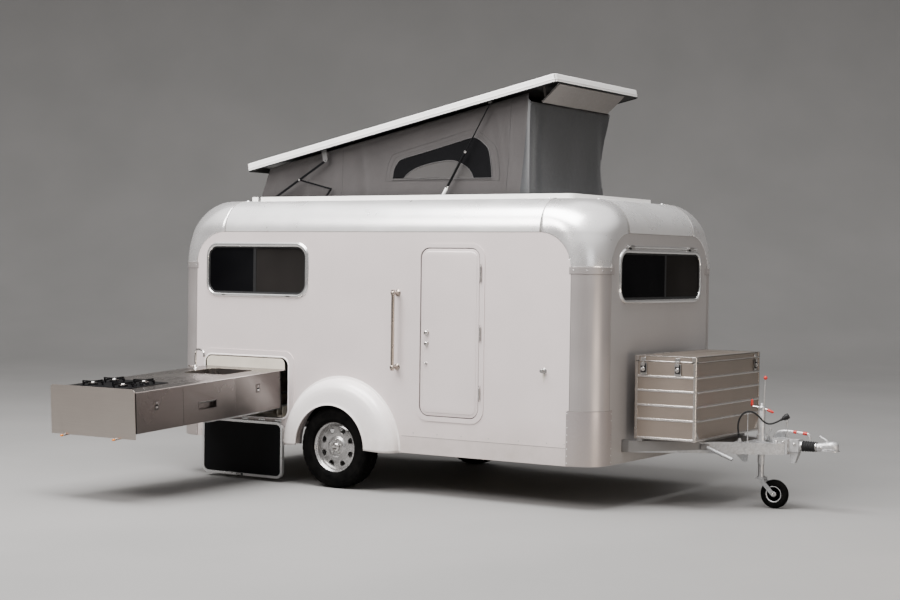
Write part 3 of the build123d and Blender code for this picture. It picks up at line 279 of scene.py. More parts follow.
SKIN = make_skin("skin_satin_pale", (0.68, 0.602, 0.592), 0.25, 0.40, 0.50, skirt=0.12)
# The caps low on the posts get a darker copy of the pale skin: painted shade.
SKIN_CAP_SHADED = make_skin("skin_satin_cap_shaded", (0.34, 0.303, 0.297), 0.50, 0.32, 0.42)
FENDER = make_skin("mudguard_satin", (0.88, 0.83, 0.815), 0.12, 0.30, 0.40)
# The end walls get a darker copy of the side skin: painted shade.
SKIN_END_SHADED = make_skin("skin_satin_end_shaded", (0.40, 0.378, 0.372), 0.45, 0.36, 0.46)
ROLL = make_brushed("rolled_skin_bright", (0.94, 0.925, 0.92), 0.66, 0.25, 0.33, "x", 0.25, 0.12)
# The corner posts get a darker copy of the pale skin: painted shade.
POST_SHADED = make_brushed("post_skin_shaded", (0.39, 0.358, 0.350), 0.55, 0.34, 0.42, "z", 0.1, 0.10)
CORNER = make_brushed("corner_skin_bright", (0.90, 0.88, 0.875), 0.78, 0.24, 0.32, "x", 0.2, 0.14)
WHITE = make_skin("roof_white", (0.86, 0.845, 0.825), 0.0, 0.34, 0.44, dirt_and_shade=0.1, wave=0.08)
TRIM = make_brushed("window_trim", (0.66, 0.655, 0.65), 0.75, 0.22, 0.34, "x", 0.2)
# Seams are low dark strips: painted shadow lines of the lapped panel edges.
SEAM_SHADE = make_plain("seam_painted_shade", (0.20, 0.185, 0.175), 0.6, amp=0.05)
RUBBER = make_plain("black_rubber", (0.010, 0.010, 0.0105), 0.62, grain=160.0, amp=0.12, spec=0.22)
GLASS = make_glass("tinted_window", (0.0022, 0.0022, 0.0026))
# The carcass and drawers get a dark copy of the stainless and the end plate a light one: painted shade on the shaded
# side, painted light on the lit end.
STEEL_SHADED = make_brushed("kitchen_stainless_shaded", (0.122, 0.110, 0.104), 0.95, 0.26, 0.36, "y", 0.4, 0.10)
# The worktop's stainless is darkened: a painted dark reflection.
WORKTOP_DARK_REFLECTION = make_brushed("worktop_stainless_dark_reflection", (0.23, 0.208, 0.194), 0.95, 0.22, 0.32, "x", 0.3, 0.08)
STEEL_END_LIT = make_brushed("kitchen_end_stainless_lit", (0.43, 0.385, 0.350), 0.93, 0.28, 0.38, "x", 0.4, 0.10)
EDGE_STEEL = make_brushed("edge_steel", (0.60, 0.575, 0.55), 0.93, 0.20, 0.30, "y", 0.3)
STEEL_DARK = make_brushed("stainless_shadowed", (0.36, 0.35, 0.34), 0.9, 0.3, 0.42, "x", 0.4)
CHROME = make_plain("polished_steel", (0.62, 0.60, 0.58), 0.18, metallic=1.0, grain=60.0, amp=0.02, var=0.06)
GALV = make_galv("galvanised_steel")
GALV_LIGHT = make_galv("galvanised_bright", (0.56, 0.56, 0.565), 0.8)
BOXAL = make_brushed("box_aluminium", (0.66, 0.635, 0.605), 0.88, 0.30, 0.44, "x", 0.5, 0.12)
BLACK = make_plain("black_coated_steel", (0.0045, 0.0045, 0.005), 0.42, metallic=0.0, grain=140.0, amp=0.06, spec=0.07)
PLASTIC = make_plain("black_plastic", (0.012, 0.012, 0.0125), 0.48, grain=260.0, amp=0.1, spec=0.25)
RED = make_plain("red_plastic", (0.45, 0.018, 0.012), 0.4, grain=120.0, amp=0.04)
CREAM = make_plain("cream_lining", (0.60, 0.55, 0.47), 0.55, grain=50.0, amp=0.05)
WOOD = make_plain("floor_board", (0.30, 0.24, 0.18), 0.6, grain=30.0, amp=0.1, var=0.25)
CANVAS = make_canvas("tent_cloth_grey", (0.040, 0.0356, 0.0352))
# The front cloth gets a darker copy of the tent cloth: painted shade.
CANVAS_FRONT_SHADED = make_canvas("tent_cloth_front_shaded", (0.020, 0.0205, 0.0226))
MESH = make_plain("window_mesh", (0.0035, 0.0035, 0.004), 0.8, grain=300.0, amp=0.1, spec=0.06)
CURTAIN = make_canvas("curtain_cloth", (0.036, 0.033, 0.032))
# The front lining board is darkened: painted shade under the raised roof.
LINING_SHADED = make_skin("roof_lining_board_shaded", (0.165, 0.150, 0.140), 0.35, 0.36, 0.48, dirt_and_shade=0.0, wave=0.12)
LAMP = make_plain("lamp_red", (0.42, 0.012, 0.010), 0.2, grain=80.0, amp=0.02, coat=0.6)
AMBER = make_plain("lamp_amber", (0.75, 0.22, 0.01), 0.2, grain=80.0, amp=0.02, coat=0.6)


def make_tyre():
    m = Mat("tyre_rubber")
    m.set(Specular_IOR_Level=0.03)
    n = m.noise(20.0, 5.0, 0.65)
    m.color(m.ramp(n, [(0.35, (0.0015, 0.0015, 0.0016)), (0.8, (0.007, 0.0065, 0.006))]))
    m.rough(m.maprange(n, 0.3, 0.7, 0.62, 0.85))
    m.bump((m.noise(240.0, 3.0, 0.6), 0.15, 0.0008))
    return m.m


def make_rim():
    m = Mat("wheel_silver")
    m.set(Metallic=0.88, Coat_Weight=0.15, Coat_Roughness=0.15)
    n = m.noise(18.0, 4.0, 0.6)
    m.color(m.ramp(n, [(0.3, (0.36, 0.352, 0.345)), (0.75, (0.50, 0.49, 0.485))]))
    m.rough(m.maprange(n, 0.3, 0.7, 0.20, 0.32))
    m.bump((m.noise(180.0, 3.0, 0.5), 0.05, 0.0006))
    return m.m


TYRE, RIM = make_tyre(), make_rim()

CAD_MATS = dict(
    side_panel_right=SKIN, side_panel_left=SKIN, front_wall=SKIN_END_SHADED, rear_wall=SKIN_END_SHADED,
    roof_rolls=ROLL, roof_corners=POST_SHADED, corner_posts=POST_SHADED, roof_deck=WHITE, floor_panel=WOOD,
    wheel_boxes=PLASTIC, chassis_frame=GALV, axle_beam=GALV, axle_arms=GALV, fenders=SKIN,
    tyre_right=TYRE, tyre_left=TYRE, rim_right=RIM, rim_left=RIM, window_frames=TRIM, window_glass=GLASS,
    door_frame=SKIN, door_leaf=SKIN, door_furniture=CHROME, grab_handle=CHROME, door_retainer=CHROME,
    hatch_frame=SKIN, kitchen_bay=CREAM, hatch_rod=CHROME, hatch_flap=TRIM, kitchen_carcass=STEEL_SHADED,
    worktop_and_sink=WORKTOP_DARK_REFLECTION, end_plate=STEEL_END_LIT, tap=CHROME, hob=BLACK, drawer_outer=STEEL_SHADED, drawer_middle=STEEL_SHADED,
    runner_beams=GALV, roof_coaming=WHITE, rear_arms=BLACK, brace_links=BLACK, brace_cranks=BLACK,
    strut_cylinders=BLACK, strut_rods=CHROME, roof_panel=WHITE, roof_front_lining=LINING_SHADED, canvas=CANVAS,
    storage_box=BOXAL, box_lid=BOXAL, overrun_housing=GALV_LIGHT, drawbar_bellows=RUBBER, coupling_head=GALV_LIGHT,
    handbrake_lever=GALV_LIGHT, jockey_clamp=GALV_LIGHT, jockey_mast=GALV_LIGHT, jockey_fork=GALV, jockey_wheel=TYRE,
    tail_lamps=LAMP, connector_cable=RUBBER, connector_plug=PLASTIC, cable_clips=GALV,
)
for n, m in CAD_MATS.items():
    if n in NODES:
        o = NODES[n]
        for s in o.material_slots:
            s.material = m
        if not o.material_slots:
            o.data.materials.append(m)

NODE_BODY = {}
for b, ns in frame["record"]["behaviour"]["bodies"].items():
    for n in ns:
        NODE_BODY[n] = b
ROOT = NODE_BODY["side_panel_right"]


# ---------------------------------------------------------------------------
# mesh tools; every point is given in the body frame
# ---------------------------------------------------------------------------
def link(o):
    bpy.context.scene.collection.objects.link(o)
    return o


class Geo:
    """Collects faces of one piece, with a material index each."""

    def __init__(self, name):
        self.name, self.v, self.f, self.mi, self.mats = name, [], [], [], []

    def mat(self, m):
        if m not in self.mats:
            self.mats.append(m)
        return self.mats.index(m)

    def add(self, verts, faces, m):
        k = len(self.v)
        i = self.mat(m)
        self.v += [Vector(p) for p in verts]
        for f in faces:
            self.f.append([a + k for a in f])
            self.mi.append(i)

    def grid(self, rows, m, close_u=False, close_v=False, flip=False):
        """rows: list of equally long lists of points."""
        nr, nc = len(rows), len(rows[0])
        vs = [p for r in rows for p in r]
        fs = []
        for i in range(nr if close_v else nr - 1):
            for j in range(nc if close_u else nc - 1):
                a, b = i * nc + j, i * nc + (j + 1) % nc
                c, d = ((i + 1) % nr) * nc + (j + 1) % nc, ((i + 1) % nr) * nc + j
                fs.append([a, d, c, b] if flip else [a, b, c, d])
        self.add(vs, fs, m)

    def fan(self, ring, m, flip=False):
        self.add(ring, [list(range(len(ring)))[::-1] if flip else list(range(len(ring)))], m)

    def tube(self, pts, r, m, n=10, caps=True, radii=None):
        pts = [Vector(p) for p in pts]
        rows = []
        up = None
        for i, p in enumerate(pts):
            t = (pts[min(i + 1, len(pts) - 1)] - pts[max(i - 1, 0)]).normalized()
            if up is None:
                a = Vector((0, 0, 1)) if abs(t.z) < 0.9 else Vector((1, 0, 0))
                up = t.cross(a).normalized()
            up = (up - t * up.dot(t)).normalized()
            s = t.cross(up)
            rr = radii[i] if radii else r
            rows.append([p + (up * math.cos(2 * math.pi * k / n) + s * math.sin(2 * math.pi * k / n)) * rr for k in range(n)])
        self.grid(rows, m, close_u=True, flip=True)
        if caps:
            self.fan(rows[0], m)
            self.fan(rows[-1], m, flip=True)

    def lathe(self, prof, origin, axis, m, n=48, start=None, arc=None, close=False):
        """prof: (distance along axis, radius) pairs."""
        axis = Vector(axis).normalized()
        a = Vector((0, 0, 1)) if abs(axis.z) < 0.9 else Vector((1, 0, 0))
        u = axis.cross(a).normalized()
        w = axis.cross(u)
        o = Vector(origin)
        rows = []
        for d, r in prof:
            rows.append([o + axis * d + (u * math.cos(2 * math.pi * k / n) + w * math.sin(2 * math.pi * k / n)) * r for k in range(n)])
        self.grid(rows, m, close_u=True, close_v=close, flip=True)
        if not close:
            if prof[0][1] > 1e-6:
                self.fan(rows[0], m)
            if prof[-1][1] > 1e-6:
                self.fan(rows[-1], m, flip=True)

    def box(self, x0, x1, y0, y1, z0, z1, m):
        v = [(x, y, z) for x in (x0, x1) for y in (y0, y1) for z in (z0, z1)]
        f = [[0, 1, 3, 2], [4, 6, 7, 5], [0, 4, 5, 1], [2, 3, 7, 6], [0, 2, 6, 4], [1, 5, 7, 3]]
        self.add(v, f, m)

    def prism(self, outline, d, m):
        """Closed prism of a planar outline moved by vector d."""
        o = [Vector(p) for p in outline]
        d = Vector(d)
        n = len(o)
        k = len(self.v)
        i = self.mat(m)
        self.v += o + [p + d for p in o]
        self.f.append([k + j for j in range(n)][::-1])
        self.mi.append(i)
        self.f.append([k + n + j for j in range(n)])
        self.mi.append(i)
        for j in range(n):
            a, b = j, (j + 1) % n
            self.f.append([k + a, k + b, k + n + b, k + n + a])
            self.mi.append(i)

    def frame(self, outer, inner, d, m):
        """Closed ring between two outlines of equal point count, moved by d."""
        d = Vector(d)
        o, i_ = [Vector(p) for p in outer], [Vector(p) for p in inner]
        rows = [o, i_, [p + d for p in i_], [p + d for p in o]]
        self.grid(rows, m, close_u=True, close_v=True)

    def make(self, body=ROOT, smooth=32.0, bevel=0.0, seg=2, weld=True, slot=None, fix=True):
        me = bpy.data.meshes.new(self.name)
        off = Vector((-OX, 0, -OZ))
        me.from_pydata([tuple(p + off) for p in self.v], [], self.f)
        for m in self.mats:
            me.materials.append(m)
        me.polygons.foreach_set("material_index", self.mi)
        bm = bmesh.new()
        bm.from_mesh(me)
        if weld:
            bmesh.ops.remove_doubles(bm, verts=bm.verts, dist=1e-5)
        if fix:
            bmesh.ops.recalc_face_normals(bm, faces=bm.faces)
        bm.to_mesh(me)
        bm.free()
        o = link(bpy.data.objects.new(self.name, me))
        finish_mesh(o, smooth, bevel, seg)
        if body:
            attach(o, body)
        return o


def finish_mesh(o, smooth=32.0, bevel=0.0, seg=2):
    me = o.data
    me.polygons.foreach_set("use_smooth", [True] * len(me.polygons))
    if bevel:
        b = o.modifiers.new("bevel", "BEVEL")
        b.width = bevel
        b.segments = seg
        b.limit_method = "ANGLE"
        b.angle_limit = math.radians(34)
        b.harden_normals = True
        b.use_clamp_overlap = True
    me.set_sharp_from_angle(angle=math.radians(smooth))
    return o


def rrect(a0, a1, b0, b1, r, n=8):
    """Rounded rectangle as (a, b) points, counter-clockwise."""
    out = []
    for ca, cb, s in ((a1 - r, b1 - r, 0), (a0 + r, b1 - r, 1), (a0 + r, b0 + r, 2), (a1 - r, b0 + r, 3)):
        for k in range(n + 1):
            t = math.pi / 2 * (s + k / n)
            out.append((ca + r * math.cos(t), cb + r * math.sin(t)))
    return out


def on_y(pts, y):
    return [Vector((a, y, b)) for a, b in pts]


def on_x(pts, x):
    return [Vector((x, a, b)) for a, b in pts]


def refine(node, width, m=None, seg=2, angle=30.0, dissolve=0.6, name=None, extra=None):
    """A softer-edged copy of a CAD piece that stands for it."""
    src = NODES[node]
    me = bpy.data.meshes.new((name or node) + "_soft")
    bm = bmesh.new()
    bm.from_mesh(src.data)
    bmesh.ops.remove_doubles(bm, verts=bm.verts, dist=2e-5)
    bmesh.ops.dissolve_limit(bm, angle_limit=math.radians(dissolve), verts=bm.verts, edges=bm.edges)
    bm.to_mesh(me)
    bm.free()
    me.materials.clear()
    me.materials.append(m or CAD_MATS[node])
    for p in me.polygons:
        p.material_index = 0
        p.use_smooth = True
    o = link(bpy.data.objects.new((name or node) + "_soft", me))
    b = o.modifiers.new("bevel", "BEVEL")
    b.width = width
    b.segments = seg
    b.limit_method = "ANGLE"
    b.angle_limit = math.radians(angle)
    b.harden_normals = True
    b.use_clamp_overlap = True
    me.set_sharp_from_angle(angle=math.radians(angle))
    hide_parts(node)
    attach(o, NODE_BODY[node])
    return o


def ribbon(g, pts, nrm, width, h, m):
    """Low strip with a soft back along pts; nrm is the outward direction at each point."""
    pts = [Vector(p) for p in pts]
    rows = []
    for i, p in enumerate(pts):
        t = (pts[min(i + 1, len(pts) - 1)] - pts[max(i - 1, 0)]).normalized()
        n = Vector(nrm[i] if isinstance(nrm[0], (tuple, list, Vector)) else nrm).normalized()
        s = t.cross(n).normalized()
        rows.append([p - s * width / 2 - n * 0.0005, p - s * width * 0.42 + n * h * 0.8, p + n * h, p + s * width * 0.42 + n * h * 0.8, p + s * width / 2 - n * 0.0005])
    g.grid(rows, m)
    g.add(rows[0], [[0, 1, 2, 3, 4]], m)
    g.add(rows[-1], [[4, 3, 2, 1, 0]], m)
    k = len(rows[0])
    g.grid([[r[-1], r[0]] for r in rows], m)


def dome(g, p, n, r, h, m, k=10):
    """Rivet head."""
    n = Vector(n).normalized()
    g.lathe([(0, r), (h * 0.55, r * 0.86), (h * 0.9, r * 0.5), (h, 0.0)], Vector(p), n, m, n=k)




# ---------------------------------------------------------------------------
# camera
# ---------------------------------------------------------------------------
cam_d = bpy.data.cameras.new("camera")
cam_d.sensor_width = 36.0
cam_d.sensor_fit = "HORIZONTAL"
cam_d.lens = 1703.95 * 36.0 / 900.0
cam_d.clip_end = 200
cam = link(bpy.data.objects.new("camera", cam_d))
yaw, pitch, roll = math.radians(32.523), math.radians(1.2015), math.radians(0.7636)
fwd = Vector((-math.sin(yaw) * math.cos(pitch), math.cos(yaw) * math.cos(pitch), -math.sin(pitch)))
right = Vector((math.cos(yaw), math.sin(yaw), 0))
up = right.cross(fwd)
r2 = right * math.cos(roll) + up * math.sin(roll)
u2 = up * math.cos(roll) - right * math.sin(roll)
mw = Matrix((r2, u2, -fwd)).transposed().to_4x4()
mw.translation = Vector((7.3395 - OX, -10.9930, 1.6378 - OZ))
cam.matrix_world = mw
bpy.context.scene.camera = cam

# ---------------------------------------------------------------------------
# lead of the road lights: points of its route, its plug and its strain relief
# ---------------------------------------------------------------------------
LEAD = [(2.786, -0.165, 0.480), (2.772, -0.163, 0.541), (2.774, -0.155, 0.603), (2.803, -0.143, 0.655), (2.856, -0.127, 0.668),
        (2.902, -0.110, 0.634), (2.934, -0.092, 0.590), (2.982, -0.072, 0.577), (3.040, -0.057, 0.613)]
cd = bpy.data.curves.new("road_light_lead", "CURVE")
cd.dimensions = "3D"
sp = cd.splines.new("NURBS")
sp.points.add(len(LEAD) - 1)
for q, p in zip(sp.points, LEAD):
    q.co = (*B(*p), 1.0)
sp.order_u = 3
sp.use_endpoint_u = True
sp.resolution_u = 14
cd.bevel_depth = 0.0060
cd.bevel_resolution = 4
cd.use_fill_caps = True
cd.materials.append(RUBBER)
lead = link(bpy.data.objects.new("road_light_lead", cd))
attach(lead, NODE_BODY["connector_cable"])
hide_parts("connector_cable")

g = Geo("lead_plug")
p8 = Vector(LEAD[-1])
ld = (p8 - Vector(LEAD[-2])).normalized()
g.lathe([(0.0, 0.0062), (0.0, 0.0084), (0.004, 0.0092), (0.006, 0.0082), (0.008, 0.0092), (0.010, 0.0082), (0.012, 0.0098), (0.014, 0.0088),
         (0.018, 0.0135), (0.022, 0.0150), (0.032, 0.0152), (0.034, 0.0185), (0.0375, 0.0190), (0.0382, 0.0208), (0.0435, 0.0208), (0.0442, 0.0190),
         (0.0585, 0.0190), (0.060, 0.0182), (0.060, 0.0168), (0.049, 0.0166), (0.049, 0.0)], p8, ld, PLASTIC, n=32)
side = ld.cross(Vector((0, 0, 1))).normalized()
nrm_ = side.cross(ld).normalized()
for k in range(8):          # grip ribs
    a = 2 * math.pi * k / 8
    d = side * math.cos(a) + nrm_ * math.sin(a)
    g.tube([p8 + ld * 0.023 + d * 0.0148, p8 + ld * 0.031 + d * 0.0152], 0.0011, PLASTIC, 6)
for k in range(7):          # contact pins
    a = 2 * math.pi * k / 7
    d = (side * math.cos(a) + nrm_ * math.sin(a)) * (0.010 if k else 0.0)
    g.tube([p8 + ld * 0.048 + d, p8 + ld * 0.057 + d], 0.0013, CHROME, 8)
plug = g.make(NODE_BODY["connector_plug"], smooth=40)
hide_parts("connector_plug")
g = Geo("lead_strain_relief")
v0 = (Vector(LEAD[1]) - Vector(LEAD[0])).normalized()
prof = [(0.0005, 0.0061), (0.0005, 0.0100)]
for k in range(6):
    r = 0.0099 - 0.0003 * k
    prof += [(0.003 + 0.0048 * k, r), (0.0055 + 0.0048 * k, r - 0.0002), (0.0058 + 0.0048 * k, r - 0.0014), (0.0075 + 0.0048 * k, r - 0.0014)]
prof += [(0.033, 0.0072), (0.034, 0.0061)]
g.lathe(prof, Vector(LEAD[0]), v0, RUBBER, n=28)
relief = g.make(NODE_BODY["cable_clips"], smooth=40)


# ---------------------------------------------------------------------------
# body shell: measures
# ---------------------------------------------------------------------------
HW = 0.978
XR, XF = -1.555, 2.107
ZS, ZT = 1.865, 2.100
RR = 0.235
Z0C = 1.616
R_TAB = [(1.50, 0.1995), (1.60, 0.1995), (1.66, 0.204), (1.70, 0.2115), (1.75, 0.229), (1.80, 0.255), (1.85, 0.290), (1.90, 0.325), (1.95, 0.352),
         (2.00, 0.362), (2.05, 0.345), (2.08, 0.312), (2.10, 0.250)]


def r_at(z):
    t = R_TAB
    if z <= t[1][0]:
        return t[1][1]
    for i in range(1, len(t) - 1):
        if z <= t[i + 1][0]:
            p0, p1, p2, p3 = t[i - 1], t[i], t[i + 1], t[min(i + 2, len(t) - 1)]
            u = (z - p1[0]) / (p2[0] - p1[0])
            m1 = (p2[1] - p0[1]) / (p2[0] - p0[0]) * (p2[0] - p1[0])
            m2 = (p3[1] - p1[1]) / max(1e-6, p3[0] - p1[0]) * (p2[0] - p1[0])
            return (2 * u ** 3 - 3 * u ** 2 + 1) * p1[1] + (u ** 3 - 2 * u ** 2 + u) * m1 + (-2 * u ** 3 + 3 * u ** 2) * p2[1] + (u ** 3 - u ** 2) * m2
    return t[-1][1]


def levels():
    zs = [Z0C, 1.64, 1.67, 1.70, 1.73, 1.76, 1.79, 1.815, 1.835, 1.85, 1.8585, 1.8635, 1.865]
    out = [(z, 0.0) for z in zs]
    for k in range(1, 15):
        a = math.pi / 2 * k / 14
        out.append((ZS + RR * math.sin(a), RR * (1 - math.cos(a))))
    return out


def edge_arc(z):
    """How far the flat panel's rounded top corner reaches past its seam."""
    if z <= 1.62:
        return 0.245
    if z >= ZS:
        return 0.0
    return math.sqrt(max(0.0, 0.245 ** 2 - (z - 1.62) ** 2))


def corner_piece(name, sx, sy):
    """Pressed corner of the roof: sx is +1 at the front, sy +1 on the left."""
    xe = XF if sx > 0 else XR
    seam_x = 1.663 if sx > 0 else -1.081
    if sx < 0:
        wide = 0.474 - 0.444        # the rear corners reach a little further along the side
    else:
        wide = 0.0
    g = Geo(name)
    rows = []
    for z, ins in levels():
        r = r_at(z)
        X, Y = abs(xe - 0) - ins * 1.0, HW - ins
        X = (xe - ins) if sx > 0 else (xe + ins)
        e = edge_arc(z)
        row = []
        # start on the side wall
        px = seam_x + sx * e
        ax = X - sx * r
        if sx < 0 and z <= 1.62:
            px = -1.356 + 0.0
        if sx < 0 and 1.62 < z < ZS:
            px = seam_x - (0.275 / 0.245) * e
        for k in range(4):
            row.append(Vector((px + (ax - px) * k / 4, sy * Y, z)))
        for k in range(17):
            t = math.pi / 2 * k / 16
            row.append(Vector((ax + sx * r * math.sin(t), sy * (Y - r + r * math.cos(t)), z)))
        py = 0.516 + (0.263 / 0.245) * e if z < ZS else 0.516
        ay = Y - r
        for k in range(1, 5):
            row.append(Vector((X, sy * (ay + (py - ay) * k / 4), z)))
        rows.append(row)
    # slight stand-off so that its edges lap over the flat panels
    g.grid(rows, POST_SHADED, flip=(sx * sy > 0))
    cm = g.mat(CORNER)
    zs_ = [z for z, _ in levels()]
    w_ = len(rows[0]) - 1
    for i_ in range(len(rows) - 1):
        if 0.5 * (zs_[i_] + zs_[i_ + 1]) > 1.62:
            for q_ in range(i_ * w_, (i_ + 1) * w_):
                g.mi[q_] = cm
    o = g.make(ROOT, smooth=60, weld=True)
    bm = bmesh.new()
    bm.from_mesh(o.data)
    bm.normal_update()
    out = Vector((0.27 - OX, 0, 1.4 - OZ))
    s = sum(1 if f.normal.dot(f.calc_center_median() - out) > 0 else -1 for f in bm.faces)
    if s < 0:
        bmesh.ops.reverse_faces(bm, faces=bm.faces)
    bm.normal_update()
    for v in bm.verts:
        v.co += v.normal * 0.0016
    bm.to_mesh(o.data)
    bm.free()
    so = o.modifiers.new("thick", "SOLIDIFY")
    so.thickness = 0.006
    so.offset = -1
    so.use_even_offset = False
    return o


for sx in (1, -1):
    for sy in (1, -1):
        corner_piece(f"roof_corner_{'front' if sx > 0 else 'rear'}_{'left' if sy > 0 else 'right'}", sx, sy)
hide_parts("roof_corners")

g = Geo("roof_edge_rolls")
LV = [(z, i) for z, i in levels() if z >= ZS - 1e-6]
for sy in (1, -1):
    def prof(t):
        pts = []
        for k in range(0, 17):
            a = math.pi / 2 * k / 16
            pts.append((ZS + (RR - t) * math.sin(a) - (0 if k else 0), RR - (RR - t) * math.cos(a)))
        return pts
    outer, inner = prof(0.0), prof(0.006)
    loop = outer + inner[::-1]
    xs = [-1.081, -0.6, 0.0, 0.6, 1.2, 1.663]
    rows = [[Vector((x, sy * (HW - i), z)) for z, i in loop] for x in xs]
    g.grid(rows, ROLL, close_u=True)
    g.fan(rows[0], ROLL)
    g.fan(rows[-1], ROLL, flip=True)
for sx in (1, -1):
    X = XF if sx > 0 else XR
    rows = [[Vector((X - sx * i, y, z)) for z, i in loop] for y in (-0.516, -0.2, 0.2, 0.516)]
    g.grid(rows, ROLL, close_u=True)
    g.fan(rows[0], ROLL)
    g.fan(rows[-1], ROLL, flip=True)
rolls = g.make(ROOT, smooth=40)
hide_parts("roof_rolls")

# ---------------------------------------------------------------------------
# seams, straps, caps and rivets of the shell
# ---------------------------------------------------------------------------
g = Geo("body_seams")


def arc_pts(c0, c1, r, a0, a1, n=14):
    return [(c0 + r * math.cos(a0 + (a1 - a0) * k / n), c1 + r * math.sin(a0 + (a1 - a0) * k / n)) for k in range(n + 1)]


# The seams' dark strips are painted shadow lines.
SEAM_W, SEAM_H = 0.0042, 0.0016
for sy in (-1, 1):
    y = sy * HW
    path = [(-1.356, 0.30)] + [(-1.356, z) for z in (0.8, 1.2, 1.6)] + arc_pts(-1.356 + 0.245, 1.62, 0.245, math.pi, math.pi / 2) + \
        [(-0.6, ZS), (0.0, ZS), (0.8, ZS)] + arc_pts(1.908 - 0.245, 1.62, 0.245, math.pi / 2, 0) + [(1.908, z) for z in (1.2, 0.8, 0.30)]
    ribbon(g, on_y(path, y), (0, sy, 0), SEAM_W, SEAM_H, SEAM_SHADE)
    for seg in ([(-1.356, 0.416), (-0.9, 0.416), (-0.44, 0.416)], [(0.56, 0.416), (1.2, 0.416), (1.895, 0.416)]):
        ribbon(g, on_y(seg, y), (0, sy, 0), 0.003, 0.0012, SEAM_SHADE)
for sx, X in ((1, XF), (-1, XR)):
    path = [(-0.779, 0.30), (-0.779, 0.9), (-0.779, 1.4)] + arc_pts(-0.534, 1.62, 0.245, math.pi, math.pi / 2) + \
        [(0.0, ZS)] + arc_pts(0.534, 1.62, 0.245, math.pi / 2, 0) + [(0.779, 1.4), (0.779, 0.9), (0.779, 0.30)]
    ribbon(g, on_x(path, X), (sx, 0, 0), SEAM_W, SEAM_H, SEAM_SHADE)
# joints across the rolls
for sy in (-1, 1):
    for x in (-1.081, 1.663):
        pts, nr = [], []
        for k in range(15):
            a = math.pi / 2 * k / 14
            pts.append(Vector((x, sy * (HW - RR + (RR + 0.0012) * math.cos(a)), ZS + (RR + 0.0012) * math.sin(a))))
            nr.append(Vector((0, sy * math.cos(a), math.sin(a))))
        ribbon(g, pts, nr, 0.005, 0.0016, SEAM_SHADE)
for sx, X in ((1, XF), (-1, XR)):
    for y in (-0.516, 0.516):
        pts, nr = [], []
        for k in range(15):
            a = math.pi / 2 * k / 14
            pts.append(Vector((X - sx * (RR - (RR + 0.0012) * math.cos(a)), y, ZS + (RR + 0.0012) * math.sin(a))))
            nr.append(Vector((sx * math.cos(a), 0, math.sin(a))))
        ribbon(g, pts, nr, 0.005, 0.0016, SEAM_SHADE)
g.make(ROOT, smooth=50)


def post_path(sx, sy, side, end, off, n=18):
    """Horizontal path round a corner post, `side` metres on the side wall and `end` on the end wall."""
    X = XF if sx > 0 else XR
    cx, cy, r = X - sx * 0.1995, sy * (HW - 0.1995), 0.1995 + off
    out = [(cx - sx * side, sy * (HW + off))]
    for k in range(n + 1):
        a = math.pi / 2 * k / n
        out.append((cx + sx * r * math.sin(a), cy + sy * r * math.cos(a)))
    out.append((X + sx * off, cy - sy * end))
    return out


g = Geo("corner_straps_and_caps")
riv = Geo("skin_rivets")
for sx in (1, -1):
    for sy in (1, -1):
        # lap strap over the post's top joint: two thin layers
        for side, end, z0, z1, off, m in ((0.012, 0.045, 1.586, 1.630, 0.0032, POST_SHADED), (0.020, 0.030, 0.300, 0.664, 0.0040, SKIN_CAP_SHADED)):
            o_ = post_path(sx, sy, side, end, off)
            i_ = post_path(sx, sy, side, end, 0.0002)
            loop = [Vector((a, b, 0)) for a, b in o_] + [Vector((a, b, 0)) for a, b in i_[::-1]]
            rows = [[Vector((p.x, p.y, z)) for p in loop] for z in (z0, z0 + 0.0015, z1 - 0.0015, z1)]
            g.grid(rows, m, close_u=True)
            g.fan(rows[0], m)
            g.fan(rows[-1], m, flip=True)
        # painted shadow lines under the strap and over the cap
        for z, off in ((1.5845, 0.0006), (0.6665, 0.0010)):
            o_ = post_path(sx, sy, 0.014, 0.035, off)
            pts = [Vector((a, b, z)) for a, b in o_]
            nr = [Vector((0, sy, 0))] + [Vector((sx * math.sin(math.pi / 2 * k / 18), sy * math.cos(math.pi / 2 * k / 18), 0)) for k in range(19)] + [Vector((sx, 0, 0))]
            ribbon(g, pts, nr, 0.004, 0.0014, SEAM_SHADE)
        X = XF if sx > 0 else XR
        xs = X - sx * 0.1995
        # rivets: down the cap's edges, along the strap
        for z in [0.318 + 0.047 * k for k in range(8)]:
            dome(riv, (xs - sx * 0.012, sy * (HW + 0.004), z), (0, sy, 0), 0.0040, 0.0022, TRIM)
            dome(riv, (X + sx * 0.004, sy * (HW - 0.1995 - 0.022), z), (sx, 0, 0), 0.0040, 0.0022, TRIM)
        for a in (0.06, 0.35, 0.70, 1.0):
            t = math.pi / 2 * a if a < 1 else math.pi / 2 * 0.97
            n_ = Vector((sx * math.sin(t), sy * math.cos(t), 0))
            c = Vector((X - sx * 0.1995, sy * (HW - 0.1995), 1.608))
            dome(riv, c + n_ * 0.2027, n_, 0.0042, 0.0022, TRIM)
